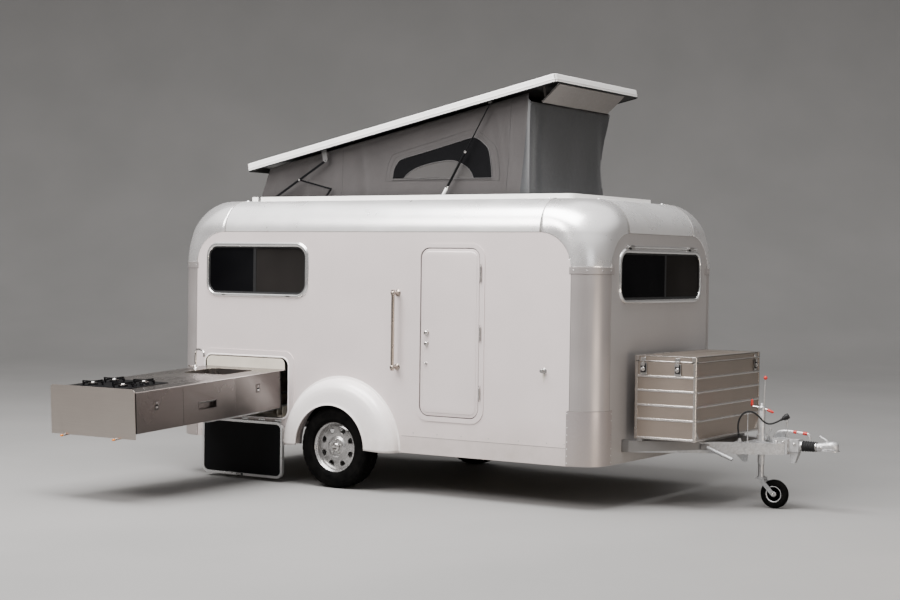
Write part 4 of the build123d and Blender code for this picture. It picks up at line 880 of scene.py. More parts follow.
for sy in (-1, 1):
    for x in (0.66, 0.86, 1.06, 1.28, 1.52, 1.74, 1.875):
        dome(riv, (x, sy * HW, 0.441), (0, sy, 0), 0.0040, 0.0022, STEEL_DARK)
    for x in (-1.30, -1.12, -0.94, -0.76, -0.60):
        dome(riv, (x, sy * HW, 0.441 if sy > 0 else 0.345), (0, sy, 0), 0.0040, 0.0022, STEEL_DARK)
    # small sealed heads where the rolls' joints meet the roof
for p in ((1.60, -0.735, 2.1), (1.60, 0.735, 2.1), (-1.06, -0.735, 2.1), (-1.06, 0.735, 2.1), (1.86, 0.50, 2.1), (1.86, -0.50, 2.1), (-1.30, 0.50, 2.1), (-1.30, -0.50, 2.1)):
    dome(riv, p, (0, 0, 1), 0.012, 0.009, ROLL, 14)
g.make(ROOT, smooth=50)
riv.make(ROOT, smooth=60)

# ---------------------------------------------------------------------------
# rings around rounded rectangles on the four walls
# ---------------------------------------------------------------------------
def wall_map(side):
    if side == "right":
        return lambda a, b, h: Vector((a, -HW - h, b))
    if side == "left":
        return lambda a, b, h: Vector((a, HW + h, b))
    if side == "front":
        return lambda a, b, h: Vector((XF + h, a, b))
    return lambda a, b, h: Vector((XR - h, a, b))


def rings(side, rect, prof, scales=(1, 1, 1, 1), n=10):
    """Outlines of rect (a0, a1, b0, b1, r) pushed out by prof's (out, stand-off)."""
    a0, a1, b0, b1, r = rect
    f = wall_map(side)
    rows = []
    for out, h in prof:
        o = rrect(a0 - out * scales[0], a1 + out * scales[1], b0 - out * scales[2], b1 + out * scales[3], max(0.003, r + out), n)
        rows.append([f(a, b, h) for a, b in o])
    return rows


TRIM_BRIGHT = make_brushed("window_trim_polished", (0.80, 0.79, 0.78), 0.88, 0.13, 0.22, "x", 0.12, 0.05)
GLASS_PANE = make_glass("tinted_window_inner", (0.010, 0.009, 0.0085), 0.07)
FRAME_PROF = [(0.002, -0.030), (0.002, 0.0010), (0.0032, 0.0062), (0.0060, 0.0098), (0.0105, 0.0120), (0.0150, 0.0124), (0.0200, 0.0112),
              (0.0245, 0.0082), (0.0275, 0.0048), (0.0290, 0.0018), (0.0293, 0.0002), (0.012, -0.0004), (0.010, -0.030)]
SEAL_PROF = [(-0.0085, -0.0038), (-0.0070, -0.0008), (-0.0035, 0.0012), (0.0010, 0.0022), (0.0035, 0.0014), (0.0035, -0.0040)]

trims, seals, panes = Geo("window_trims"), Geo("window_seals"), Geo("window_panes")
WINS = [("right", (-1.237, -0.317, 1.400, 1.747, 0.080), (0.8, 1.25, 0.95, 1.35), -0.795),
        ("left", (-1.237, -0.317, 1.400, 1.747, 0.080), (0.8, 1.25, 0.95, 1.35), -0.795),
        ("left", (0.633, 1.553, 1.400, 1.747, 0.080), (0.8, 1.25, 0.95, 1.35), 1.10),
        ("front", (-0.638, 0.638, 1.412, 1.728, 0.080), (1.0, 1.0, 1.0, 1.2), 0.07),
        ("rear", (-0.638, 0.638, 1.412, 1.728, 0.080), (1.0, 1.0, 1.0, 1.2), 0.0)]
for side, rect, sc, mid in WINS:
    trims.grid(rings(side, rect, FRAME_PROF, sc), TRIM_BRIGHT, close_u=True, close_v=True)
    seals.grid(rings(side, rect, SEAL_PROF), RUBBER, close_u=True, close_v=True)
    a0, a1, b0, b1, r = rect
    f = wall_map(side)
    # two sliding panes, the second a little deeper
    o = rrect(a0 - 0.002, a1 + 0.002, b0 - 0.002, b1 + 0.002, r + 0.002, 10)
    first = [(min(a, mid + 0.012), b) for a, b in o]
    second = [(max(a, mid - 0.012), b) for a, b in o]
    for pts, h, m in ((first, -0.0042, GLASS), (second, -0.0066, GLASS_PANE)):
        q = []
        for p in pts:
            if not q or abs(p[0] - q[-1][0]) + abs(p[1] - q[-1][1]) > 1e-5:
                q.append(p)
        if abs(q[0][0] - q[-1][0]) + abs(q[0][1] - q[-1][1]) < 1e-5:
            q.pop()
        panes.prism([f(a, b, h) for a, b in q], f(0, 0, -0.0045) - f(0, 0, 0), m)
    # the pane's upright and a lower glazing bar
    panes.prism([f(mid - 0.013, b0 + 0.001, -0.0035), f(mid + 0.013, b0 + 0.001, -0.0035), f(mid + 0.013, b1 - 0.001, -0.0035), f(mid - 0.013, b1 - 0.001, -0.0035)],
                f(0, 0, -0.004) - f(0, 0, 0), PLASTIC)
    panes.prism([f(a0 + 0.06, b0 + 0.005, -0.0038), f(a1 - 0.06, b0 + 0.005, -0.0038), f(a1 - 0.06, b0 + 0.014, -0.0038), f(a0 + 0.06, b0 + 0.014, -0.0038)],
                f(0, 0, -0.003) - f(0, 0, 0), PLASTIC)
    if side in ("right", "left"):      # drain clips on the lower frame
        for cx in (a0 + 0.155, a1 - 0.150):
            bar = rrect(cx - 0.017, cx + 0.017, b0 - 0.0185, b0 - 0.0105, 0.0038, 4)
            seals.prism([f(a, b, 0.0102) for a, b in bar], f(0, 0, 0.0042) - f(0, 0, 0), PLASTIC)
            bar = rrect(cx - 0.004, cx + 0.016, b0 - 0.0172, b0 - 0.0128, 0.002, 3)
            trims.prism([f(a, b, 0.0140) for a, b in bar], f(0, 0, 0.0022) - f(0, 0, 0), CHROME)
o = trims.make(ROOT, smooth=48)
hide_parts("window_frames")
seals.make(ROOT, smooth=48)
o = panes.make(ROOT, smooth=40)
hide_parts("window_glass")

# awning rail over the end windows, with two clips
g = Geo("awning_rails")
for side in ("front", "rear"):
    f = wall_map(side)
    sec = [(0.0, 1.7650), (0.0045, 1.7655), (0.0075, 1.7685), (0.0095, 1.7730), (0.0078, 1.7775), (0.0050, 1.7792), (0.0048, 1.7760), (0.0030, 1.7762), (0.0028, 1.7830), (0.0, 1.7835)]
    ys = [-0.575 + 1.16 * k / 20 for k in range(21)]
    rows = [[f(y, b, h) for h, b in sec] for y in ys]
    g.grid(rows, TRIM_BRIGHT, close_u=True)
    g.fan(rows[0], TRIM_BRIGHT)
    g.fan(rows[-1], TRIM_BRIGHT, flip=True)
    for cy in (-0.493, 0.471):
        o_ = rrect(cy - 0.036, cy + 0.036, 1.768, 1.7835, 0.006, 5)
        g.prism([f(a, b, 0.004) for a, b in o_], f(0, 0, 0.013) - f(0, 0, 0), CHROME)
        o_ = rrect(cy - 0.030, cy - 0.006, 1.752, 1.770, 0.004, 4)
        g.prism([f(a, b, 0.004) for a, b in o_], f(0, 0, 0.007) - f(0, 0, 0), PLASTIC)
g.make(ROOT, smooth=40, bevel=0.0012)

# ---------------------------------------------------------------------------
# entrance door
# ---------------------------------------------------------------------------
DOOR = (0.713, 1.192, 0.573, 1.747, 0.066)
g = Geo("door_panel")
prof = [(0.0, -0.0290), (0.0, -0.0024), (-0.0008, -0.0008), (-0.0024, 0.0), (-0.0175, 0.0), (-0.0192, 0.0004), (-0.0210, 0.0018), (-0.0236, 0.0030),
        (-0.0260, 0.0034), (-0.060, 0.0034)]
rows = rings("right", DOOR, prof)
g.grid(rows, SKIN, close_u=True)
g.fan(rows[-1], SKIN)
back = rings("right", DOOR, [(0.0, -0.0290), (-0.030, -0.0300)])
g.grid(back, CREAM, close_u=True, flip=True)
g.fan(back[-1], CREAM, flip=True)
o = g.make(NODE_BODY["door_leaf"], smooth=50)
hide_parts("door_leaf")
g = Geo("door_seal")
g.grid(rings("right", DOOR, [(0.0008, -0.0060), (0.0010, -0.0030), (0.0020, -0.0018), (0.0040, -0.0018), (0.0052, -0.0030), (0.0054, -0.0060)]), RUBBER, close_u=True, close_v=True)
g.make(ROOT, smooth=50)
g = Geo("door_fittings")
for z0, z1 in ((0.703, 0.787), (1.111, 1.208), (1.518, 1.628)):
    n = 3
    for k in range(n):
        a, b = z0 + (z1 - z0) * k / n + 0.0006, z0 + (z1 - z0) * (k + 1) / n - 0.0006
        g.lathe([(0.0, 0.0), (0.0, 0.0060), (0.0008, 0.0068), (b - a - 0.0008, 0.0068), (b - a, 0.0060), (b - a, 0.0)], (1.207, -0.990, a), (0, 0, 1), STEEL_DARK, n=20)
    g.lathe([(0.0, 0.0), (0.0, 0.0052), (0.002, 0.0060), (0.004, 0.0040), (0.0052, 0.0)], (1.207, -0.990, z1), (0, 0, 1), CHROME, n=16)
    pl = rrect(1.190, 1.203, z0 + 0.007, z1 - 0.007, 0.004, 4)
    g.prism(on_y(pl, -0.9785), (0, -0.0042, 0), SKIN)
for z, r, d in ((1.154, 0.017, 0.022), (1.077, 0.015, 0.020)):
    g.lathe([(0.0, r + 0.0065), (0.0020, r + 0.0062), (0.0036, r + 0.0035), (0.0042, r * 0.62), (d * 0.40, r * 0.60), (d * 0.52, r * 0.80), (d * 0.62, r * 0.97),
             (d * 0.80, r), (d * 0.95, r * 0.90), (d + 0.002, r * 0.62), (d + 0.0026, r * 0.30), (d + 0.0026, 0.0)], (0.765, -HW, z), (0, -1, 0), CHROME, n=36)
g.prism(on_y(rrect(0.7605, 0.7695, 1.0745, 1.0795, 0.001, 3), -HW - 0.0224), (0, -0.0012, 0), BLACK)
g.lathe([(0.0, 0.0145), (0.0016, 0.0140), (0.0026, 0.0100), (0.0050, 0.0072), (0.0090, 0.0080), (0.0130, 0.0074), (0.0150, 0.0)], (0.765, -HW, 0.940), (0, -1, 0), CHROME, n=28)
g.tube([(0.765, -HW - 0.0095, 0.940), (0.754, -HW - 0.0105, 0.9415), (0.744, -HW - 0.0105, 0.9425)], 0.0036, CHROME, 10, radii=[0.0042, 0.0038, 0.0030])
o = g.make(NODE_BODY["door_furniture"], smooth=40)
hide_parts("door_furniture")

# grab handle: slim tube between two turned stand-offs
BAR_STEEL = make_brushed("handle_steel", (0.40, 0.345, 0.30), 0.95, 0.20, 0.30, "z", 0.2)
g = Geo("grab_bar")
pts = [(0.514, -1.040, 0.880), (0.514, -1.040, 0.95), (0.514, -1.040, 1.05), (0.514, -1.040, 1.25), (0.514, -1.040, 1.38), (0.514, -1.040, 1.451)]
g.tube(pts, 0.0125, BAR_STEEL, 24)
for z, s in ((0.880, -1), (1.451, 1)):
    g.lathe([(0.0, 0.0150), (0.003, 0.0150), (0.0045, 0.0125), (0.0055, 0.006), (0.006, 0.0)], (0.514, -1.040, z - s * 0.004), (0, 0, s), BAR_STEEL, n=28)
for z in (0.902, 1.429):
    g.lathe([(0.0, 0.0245), (0.0025, 0.0245), (0.0050, 0.0215), (0.0080, 0.0140), (0.0180, 0.0108), (0.0420, 0.0105), (0.0500, 0.0135), (0.0560, 0.0165), (0.0640, 0.0172), (0.072, 0.0155), (0.0760, 0.0120), (0.0775, 0.0)],
            (0.514, -HW, z), (0, -1, 0), BAR_STEEL, n=32)
o = g.make(ROOT, smooth=45)
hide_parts("grab_handle")

# door retainer and the drip mark below it
STAIN = make_plain("drip_mark", (0.52, 0.475, 0.42), 0.60, grain=70.0, amp=0.03, var=0.10)
g = Geo("door_retainer_knob")
g.lathe([(0.0, 0.0205), (0.0020, 0.0205), (0.0040, 0.0180), (0.0060, 0.0090), (0.0085, 0.0070), (0.0240, 0.0070), (0.0262, 0.0110), (0.0285, 0.0145), (0.0330, 0.0152), (0.0378, 0.0140), (0.0400, 0.0100), (0.0402, 0.0)],
        (1.712, -HW, 0.929), (0, -1, 0), STEEL_DARK, n=32)
o = g.make(ROOT, smooth=45)
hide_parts("door_retainer")
g = Geo("drip_marks")
for cx, z1_, z0_, w_ in ((1.712, 0.912, 0.846, 0.0075), (1.7195, 0.905, 0.868, 0.0035), (1.7045, 0.904, 0.875, 0.0030)):
    o_ = [(cx - w_, z1_), (cx + w_, z1_), (cx + w_ * 0.92, z1_ - 0.3 * (z1_ - z0_)), (cx + w_ * 0.62, z1_ - 0.65 * (z1_ - z0_)), (cx + w_ * 0.30, z1_ - 0.92 * (z1_ - z0_)),
          (cx, z0_), (cx - w_ * 0.34, z1_ - 0.90 * (z1_ - z0_)), (cx - w_ * 0.66, z1_ - 0.60 * (z1_ - z0_)), (cx - w_ * 0.95, z1_ - 0.25 * (z1_ - z0_))]
    g.prism(on_y(o_, -HW + 0.0004), (0, -0.0008, 0), STAIN)
g.make(ROOT, smooth=30)

# ---------------------------------------------------------------------------
# mudguards
# ---------------------------------------------------------------------------
FCX, FCZ, FR = 0.030, 0.292, 0.505
FIX, FIZ, FIR = -0.012, 0.298, 0.306


def smooth_line(pts, n=6):
    """Catmull-Rom points through pts."""
    out = []
    for i in range(len(pts) - 1):
        p0, p1, p2, p3 = pts[max(i - 1, 0)], pts[i], pts[i + 1], pts[min(i + 2, len(pts) - 1)]
        for k in range(n):
            t = k / n
            out.append(tuple(0.5 * ((2 * b) + (c - a) * t + (2 * a - 5 * b + 4 * c - d) * t * t + (3 * b - a - 3 * c + d) * t ** 3) for a, b, c, d in zip(p0, p1, p2, p3)))
    out.append(tuple(pts[-1]))
    return out


SECT = smooth_line([(0.0000, 0.000), (0.0220, 0.003), (0.0500, 0.014), (0.0740, 0.034), (0.0895, 0.062), (0.0955, 0.095)], 5)
for s, nm in ((-1, "right"), (1, "left")):
    g = Geo(f"mudguard_{nm}")
    rows = []
    NT = 72
    for i in range(NT + 1):
        t = math.pi * i / NT
        c, sn = math.cos(t), math.sin(t)
        row = []
        for out, h in ((0.0185, 0.0003), (0.0175, 0.0018), (0.0155, 0.0024), (0.0040, 0.0024), (0.0015, 0.0042)):
            row.append((FCX + (FR + out) * c, s * (HW + h), max(FCZ, FCZ + (FR + out) * sn)))
        for d, k in SECT[1:]:
            row.append((FCX + (FR - k) * c, s * (HW + d), FCZ + (FR - k) * sn))
        last = Vector((FCX + (FR - 0.095) * c, 0, FCZ + (FR - 0.095) * sn))
        lip = Vector((FIX + (FIR + 0.0085) * c, 0, FIZ + (FIR + 0.0085) * sn))
        for u in (0.2, 0.4, 0.6, 0.8, 1.0):
            q = last.lerp(lip, u)
            row.append((q.x, s * (HW + 0.0955 + 0.0008 * math.sin(math.pi * u)), q.z))
        for h, out in ((0.0968, 0.0065), (0.0976, 0.0035), (0.0968, 0.0008), (0.0945, 0.0), (0.0900, 0.0006), (0.0820, 0.0016)):
            row.append((FIX + (FIR + out) * c, s * (HW + h), FIZ + (FIR + out) * sn))
        rows.append(row)
    g.grid(rows, FENDER, flip=(s > 0))
    o = g.make(ROOT, smooth=60)
    bm = bmesh.new()
    bm.from_mesh(o.data)
    bm.normal_update()
    c0 = B(FCX, s * 0.90, 0.15)
    if sum(1 if f.normal.dot(f.calc_center_median() - c0) > 0 else -1 for f in bm.faces) < 0:
        bmesh.ops.reverse_faces(bm, faces=bm.faces)
    bm.to_mesh(o.data)
    bm.free()
    so = o.modifiers.new("thick", "SOLIDIFY")
    so.thickness = 0.0035
    so.offset = -1
    if s < 0:
        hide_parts("fenders")

# ---------------------------------------------------------------------------
# road wheels
# ---------------------------------------------------------------------------
WY, WZ = 0.948, 0.298
TY = [(0.0660, 0.1815), (0.0740, 0.1822), (0.0795, 0.1845), (0.0830, 0.1880), (0.0858, 0.1935), (0.0872, 0.2010), (0.0880, 0.2035), (0.0884, 0.2040), (0.0886, 0.2075), (0.0890, 0.2200),
      (0.0888, 0.2350), (0.0880, 0.2480), (0.0866, 0.2600), (0.0858, 0.2612), (0.0854, 0.2650), (0.0840, 0.2720), (0.0800, 0.2815), (0.0745, 0.2885), (0.0690, 0.2922), (0.0625, 0.2948)]
TREAD = [(0.0560, 0.2960), (0.0480, 0.2968), (0.0470, 0.2905), (0.0410, 0.2905), (0.0400, 0.2972), (0.0220, 0.2979), (0.0210, 0.2910), (0.0150, 0.2910), (0.0140, 0.2980)]
half = TY + TREAD
full = half + [(-t, r) for t, r in half[::-1]]
inner = [(-0.0640, 0.1900), (0.0640, 0.1900)]
for nm, s in (("right", -1), ("left", 1)):
    g = Geo(f"road_tyre_{nm}")
    N = 168
    rows = []
    for t, r in full + inner:
        row = []
        for k in range(N):
            rr_ = r
            at = abs(t)
            if 0.0610 < at < 0.0800 and k % 4 == 0 and r > 0.27:
                rr_ -= 0.0042
            if at <= 0.0605 and r > 0.2955 and k % 4 == (0 if at > 0.044 else 2 if at > 0.02 else 1):
                rr_ -= 0.0035
            a = 2 * math.pi * (k + (0.6 if 0.02 < at < 0.044 else 0.0)) / N
            row.append((rr_ * math.cos(a), s * WY + t, WZ + rr_ * math.sin(a)))
        rows.append(row)
    g.grid(rows, TYRE, close_u=True, close_v=True)
    o = g.make(NODE_BODY[f"tyre_{nm}"], smooth=38)
    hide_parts(f"tyre_{nm}")

    g = Geo(f"road_rim_{nm}")
    # barrel and lips: distance outwards from the middle plane, radius
    barrel = [(0.0300, 0.1640), (0.0370, 0.1643), (0.0460, 0.1655), (0.0550, 0.1690), (0.0590, 0.1735), (0.0610, 0.1775), (0.0640, 0.1800), (0.0672, 0.1815), (0.0688, 0.1830), (0.0690, 0.1846), (0.0678, 0.1856),
              (0.0655, 0.1858), (0.0640, 0.1846), (0.0625, 0.1812), (0.0560, 0.1806), (-0.0560, 0.1806), (-0.0640, 0.1846), (-0.0680, 0.1856), (-0.0690, 0.1840), (-0.0670, 0.1815), (-0.0600, 0.1740), (-0.0300, 0.1690), (0.0180, 0.1655)]
    g.lathe([(d, r) for d, r in barrel], (0, s * WY, WZ), (0, s, 0), RIM, n=96, close=True)

    def dish(r, a=0.0):
        """Stand-off of the wheel disc at radius r."""
        tab = [(0.030, 0.0520), (0.060, 0.0520), (0.066, 0.0500), (0.074, 0.0420), (0.080, 0.0385), (0.088, 0.0392), (0.096, 0.0400), (0.104, 0.0392), (0.145, 0.0360), (0.152, 0.0345), (0.158, 0.0310), (0.1645, 0.0290)]
        for (r0, h0), (r1, h1) in zip(tab, tab[1:]):
            if r <= r1:
                u = max(0.0, (r - r0) / (r1 - r0))
                u = u * u * (3 - 2 * u)
                return h0 + (h1 - h0) * u
        return tab[-1][1]

    NP = 48
    for sec in range(8):
        ac = math.radians(45 * sec + 22.5)
        ringset = []
        for j, u in enumerate((0.0, 0.35, 0.7, 0.88, 1.0, 1.0, 1.0)):
            row = []
            for k in range(NP):
                ph = 2 * math.pi * k / NP
                cc, ss = math.cos(ph), math.sin(ph)
                # sector boundary in (radius, angle)
                m_ = max(abs(cc), abs(ss))
                br, ba = 0.121 + 0.0435 * cc / m_ - (0.0 if cc < 0 else 0.0), math.radians(22.5) * ss / m_
                br = 0.0790 if cc / m_ < -0.999 else (0.1645 if cc / m_ > 0.999 else 0.12175 + 0.04275 * cc / m_)
                # rounded trapezium hole, wider outside
                e = 2.0 / 2.9
                hx_ = math.copysign(abs(cc) ** e, cc)
                hy_ = math.copysign(abs(ss) ** e, ss)
                hr = 0.1255 + 0.0185 * hx_
                ha = math.radians(9.6 + 1.6 * hx_) * hy_
                r_, a_ = br + (hr - br) * u, ba + (ha - ba) * u
                h = dish(r_)
                if j == 4:
                    h -= 0.0012
                if j == 5:
                    h -= 0.0045
                if j == 6:
                    h -= 0.0100
                row.append((r_ * math.cos(ac + a_), s * (WY + h), WZ + r_ * math.sin(ac + a_)))
            ringset.append(row)
        g.grid(ringset, RIM, close_u=True)
    # hub boss, nuts and cap
    g.lathe([(dish(r), r) for r in (0.0790, 0.0760, 0.0740, 0.0700, 0.0670, 0.0640, 0.0600, 0.0500, 0.0340)] + [(0.0500, 0.0330), (0.0500, 0.0)], (0, s * WY, WZ), (0, s, 0), RIM, n=96)
    g.lathe([(0.0505, 0.0318), (0.0560, 0.0318), (0.0600, 0.0305), (0.0635, 0.0270), (0.0652, 0.0215), (0.0655, 0.0180), (0.0648, 0.0165), (0.0650, 0.0)], (0, s * WY, WZ), (0, s, 0), CHROME, n=48)
    for k in range(5):
        a = math.radians(90 + 72 * k)
        c_ = Vector((0.0500 * math.cos(a), s * WY, WZ + 0.0500 * math.sin(a)))
        g.lathe([(0.0500, 0.0115), (0.0525, 0.0110), (0.0525, 0.0090)], c_, (0, s, 0), CHROME, n=18)
        g.lathe([(0.0520, 0.0088), (0.0600, 0.0088), (0.0620, 0.0074), (0.0640, 0.0050), (0.0645, 0.0)], c_, (0, s, 0), STEEL_DARK, n=6)
    # brake drum and axle hub behind the disc
    g.lathe([(-0.2300, 0.1080), (-0.2300, 0.1180), (-0.0900, 0.1180), (-0.0880, 0.0660), (0.0200, 0.0660), (0.0240, 0.0300), (0.0240, 0.0)], (0, s * WY, WZ), (0, s, 0), STEEL_DARK, n=64)
    # valve
    g.tube([(0.1560 * math.cos(0.9), s * (WY + 0.030), WZ + 0.1560 * math.sin(0.9)), (0.1530 * math.cos(0.9), s * (WY + 0.052), WZ + 0.1530 * math.sin(0.9))], 0.0034, PLASTIC, 10)
    o = g.make(NODE_BODY[f"rim_{nm}"], smooth=40)
    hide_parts(f"rim_{nm}")


# ---------------------------------------------------------------------------
# kitchen: softened pieces, latches, tap; pieces hang out at a slope of 2.9 degrees
# ---------------------------------------------------------------------------
DROOP = math.radians(2.9)


def tip(p):
    dy, dz = p[1] + 0.978, p[2] - 0.700
    return Vector((p[0], -0.978 + dy * math.cos(DROOP) - dz * math.sin(DROOP), 0.700 + dy * math.sin(DROOP) + dz * math.cos(DROOP)))


def untip(p):
    dy, dz = p[1] + 0.978, p[2] - 0.700
    return Vector((p[0], -0.978 + dy * math.cos(DROOP) + dz * math.sin(DROOP), 0.700 - dy * math.sin(DROOP) + dz * math.cos(DROOP)))


def paint(o, rule):
    """rule(centre in the body frame, normal) gives a material or None."""
    me = o.data
    for p in me.polygons:
        c = Vector(p.center) + Vector((OX, 0, OZ))
        m = rule(c, Vector(p.normal))
        if m is not None:
            if m.name not in [q.name for q in me.materials]:
                me.materials.append(m)
            p.material_index = [q.name for q in me.materials].index(m.name)


def board_rule(c, n):
    q = untip(c)
    return CREAM if q.y > -0.9802 and q.z > 0.8320 and -1.244 < q.x < -0.489 else None


o = refine("kitchen_carcass", 0.0013)
paint(o, board_rule)
refine("worktop_and_sink", 0.0011)
refine("end_plate", 0.0014)
refine("drawer_outer", 0.0016)
refine("drawer_middle", 0.0016)
refine("hob", 0.0014, BLACK)
o = refine("hatch_frame", 0.0022)


# The opening's inner faces get black rubber: a seal, with painted shade inside the opening.
def hatch_rule(c, n):
    return RUBBER if abs(n.y) < 0.4 and -1.2615 < c.x < -0.4605 and 0.4745 < c.z < 0.9255 else None


paint(o, hatch_rule)
g = Geo("hatch_lip")
g.grid(rings("right", (-1.264, -0.458, 0.472, 0.928, 0.066), [(-0.0040, 0.0045), (-0.0036, 0.0062), (-0.0010, 0.0076), (0.0030, 0.0078), (0.0060, 0.0070), (0.0078, 0.0058), (0.0078, 0.0040)]), FENDER, close_u=True)
g.make(ROOT, smooth=60)
FLAP_OUT = 2 * -0.984 + 0.978 - 0.027


def flap_rule(c, n):
    if n.y < -0.9 and c.y > FLAP_OUT + 0.004 and -1.236 < c.x < -0.50 and c.z < 0.44:
        return BLACK
    return None


FLAP_TRIM = make_brushed("flap_edge_silver", (0.60, 0.595, 0.59), 0.85, 0.22, 0.34, "x", 0.2)
o = refine("hatch_flap", 0.0038, FLAP_TRIM, seg=3)
paint(o, flap_rule)

g = Geo("flap_lining_and_latch")
fx0, fx1, fz1, fz0 = -1.264 + 0.010, -0.458 - 0.024, 0.446, 0.026
# soft lining board inside the frame, with a rubber lip
o_ = rrect(fx0 + 0.0195, fx1 - 0.0195, fz0 + 0.0195, fz1 - 0.0195, 0.038, 8)
i_ = rrect(fx0 + 0.0235, fx1 - 0.0235, fz0 + 0.0235, fz1 - 0.0235, 0.034, 8)
rows = [on_y(o_, FLAP_OUT + 0.0058), on_y(o_, FLAP_OUT + 0.0030), on_y(i_, FLAP_OUT + 0.0018), on_y(i_, FLAP_OUT + 0.0036)]
i2 = rrect(fx0 + 0.0285, fx1 - 0.0285, fz0 + 0.0285, fz1 - 0.0285, 0.030, 8)
rows.append(on_y(i2, FLAP_OUT + 0.0036))
g.grid(rows, BLACK, close_u=True)
g.fan(rows[-1], BLACK)
for lx in (-0.885,):       # paddle latch at the lower edge
    g.prism(on_y(rrect(lx - 0.030, lx + 0.030, fz0 + 0.003, fz0 + 0.017, 0.004, 4), FLAP_OUT + 0.0002), (0, -0.0040, 0), PLASTIC)
    g.prism(on_y(rrect(lx - 0.018, lx + 0.018, fz0 + 0.006, fz0 + 0.014, 0.003, 4), FLAP_OUT - 0.0036), (0, -0.0030, 0), CHROME)
    g.prism([(lx - 0.026, FLAP_OUT + 0.004, fz0 + 0.0005), (lx + 0.026, FLAP_OUT + 0.004, fz0 + 0.0005), (lx + 0.026, FLAP_OUT + 0.020, fz0 + 0.0005), (lx - 0.026, FLAP_OUT + 0.020, fz0 + 0.0005)], (0, 0, -0.009), PLASTIC)
g.make(NODE_BODY["hatch_flap"], smooth=40, bevel=0.0008)

KX = -0.483
g = Geo("kitchen_fittings")


def latch_plate(gg, cy, face_x, m=STEEL_SHADED):
    """Flush lock plate with a thumb bowl and a small key barrel."""
    o_ = rrect(cy - 0.023, cy + 0.023, 0.706, 0.764, 0.005, 5)
    i_ = rrect(cy - 0.021, cy + 0.021, 0.708, 0.762, 0.004, 5)
    rows = [on_x(o_, face_x + 0.0002), on_x(o_, face_x + 0.0012), on_x(i_, face_x + 0.0022)]
    b0 = rrect(cy - 0.0165, cy + 0.0165, 0.711, 0.740, 0.010, 5)
    b1 = rrect(cy - 0.0150, cy + 0.0150, 0.7125, 0.7385, 0.009, 5)
    rows += [on_x(b0, face_x + 0.0022), on_x(b1, face_x + 0.0005)]
    gg.grid(rows, m, close_u=True)
    gg.fan(rows[-1], BLACK)
    oo_ = rrect(cy - 0.0250, cy + 0.0250, 0.7040, 0.7660, 0.006, 5)
    gg.grid([on_x(o_, face_x + 0.0010), on_x(oo_, face_x + 0.0008), on_x(oo_, face_x + 0.0001)], BLACK, close_u=True)
    gg.lathe([(0.0, 0.0062), (0.0030, 0.0062), (0.0038, 0.0050), (0.0038, 0.0)], (face_x + 0.0020, cy, 0.751), (1, 0, 0), STEEL_DARK, n=24)
    gg.prism([(face_x + 0.0059, cy - 0.0008, 0.7475), (face_x + 0.0059, cy + 0.0008, 0.7475), (face_x + 0.0059, cy + 0.0008, 0.7545), (face_x + 0.0059, cy - 0.0008, 0.7545)], (0.0004, 0, 0), BLACK)
    gg.prism([(face_x + 0.0012, cy - 0.011, 0.716), (face_x + 0.0012, cy + 0.011, 0.716), (face_x + 0.0012, cy + 0.011, 0.728), (face_x + 0.0012, cy - 0.011, 0.728)], (0.0030, 0, 0), STEEL_DARK)


latch_plate(g, -1.304, KX)
# folded edge under the worktop and thin joints
g.prism([(KX + 0.0005, -2.590, 0.8350), (KX + 0.0005, -0.990, 0.8350), (KX + 0.0005, -0.990, 0.8400), (KX + 0.0005, -2.590, 0.8400)], (0.0034, 0, 0), EDGE_STEEL)
g.prism([(KX + 0.0004, -2.590, 0.8322), (KX + 0.0004, -0.990, 0.8322), (KX + 0.0004, -0.990, 0.8350), (KX + 0.0004, -2.590, 0.8350)], (0.0008, 0, 0), BLACK)
for jy, z_a in ((-2.130, 0.562), (-1.573, 0.562)):
    g.prism([(KX + 0.0004, jy - 0.0022, z_a), (KX + 0.0004, jy + 0.0022, z_a), (KX + 0.0004, jy + 0.0022, 0.832), (KX + 0.0004, jy - 0.0022, 0.832)], (0.0006, 0, 0), BLACK)
# sink waste and rim
g.lathe([(0.0, 0.0), (0.0, 0.0300), (0.0014, 0.0420), (0.0026, 0.0430), (0.0010, 0.0400), (-0.0002, 0.0290)], (-0.850, -1.305, 0.6910), (0, 0, 1), CHROME, n=40)
for k in range(6):
    a = math.pi / 3 * k
    g.tube([(-0.850 + 0.006 * math.cos(a), -1.305 + 0.006 * math.sin(a), 0.6922), (-0.850 + 0.022 * math.cos(a), -1.305 + 0.022 * math.sin(a), 0.6922)], 0.0018, BLACK, 6)
so = rrect(-1.066, -0.634, -1.486, -1.124, 0.066, 10)
si = rrect(-1.0572, -0.6428, -1.4772, -1.1328, 0.0572, 10)
rows = []
for ring_, z in ((so, 0.8402), (so, 0.8412), (rrect(-1.063, -0.637, -1.483, -1.127, 0.063, 10), 0.8422), (si, 0.8418), (rrect(-1.0570, -0.6430, -1.4770, -1.1330, 0.057, 10), 0.8380)):
    rows.append([Vector((a, b, z)) for a, b in ring_])
g.grid(rows, CHROME, close_u=True)
# lock rods with amber ends
for rx in (-1.131, -0.651):
    g.lathe([(0.0, 0.0), (0.0, 0.0060), (0.0030, 0.0072), (0.0200, 0.0072), (0.0220, 0.0060), (0.0220, 0.0)], (rx, -2.640, 0.518), (0, 1, 0), AMBER, n=24)
    g.lathe([(0.0, 0.0066), (0.0040, 0.0078), (0.0070, 0.0078), (0.0100, 0.0062)], (rx, -2.617, 0.518), (0, 1, 0), CHROME, n=24)
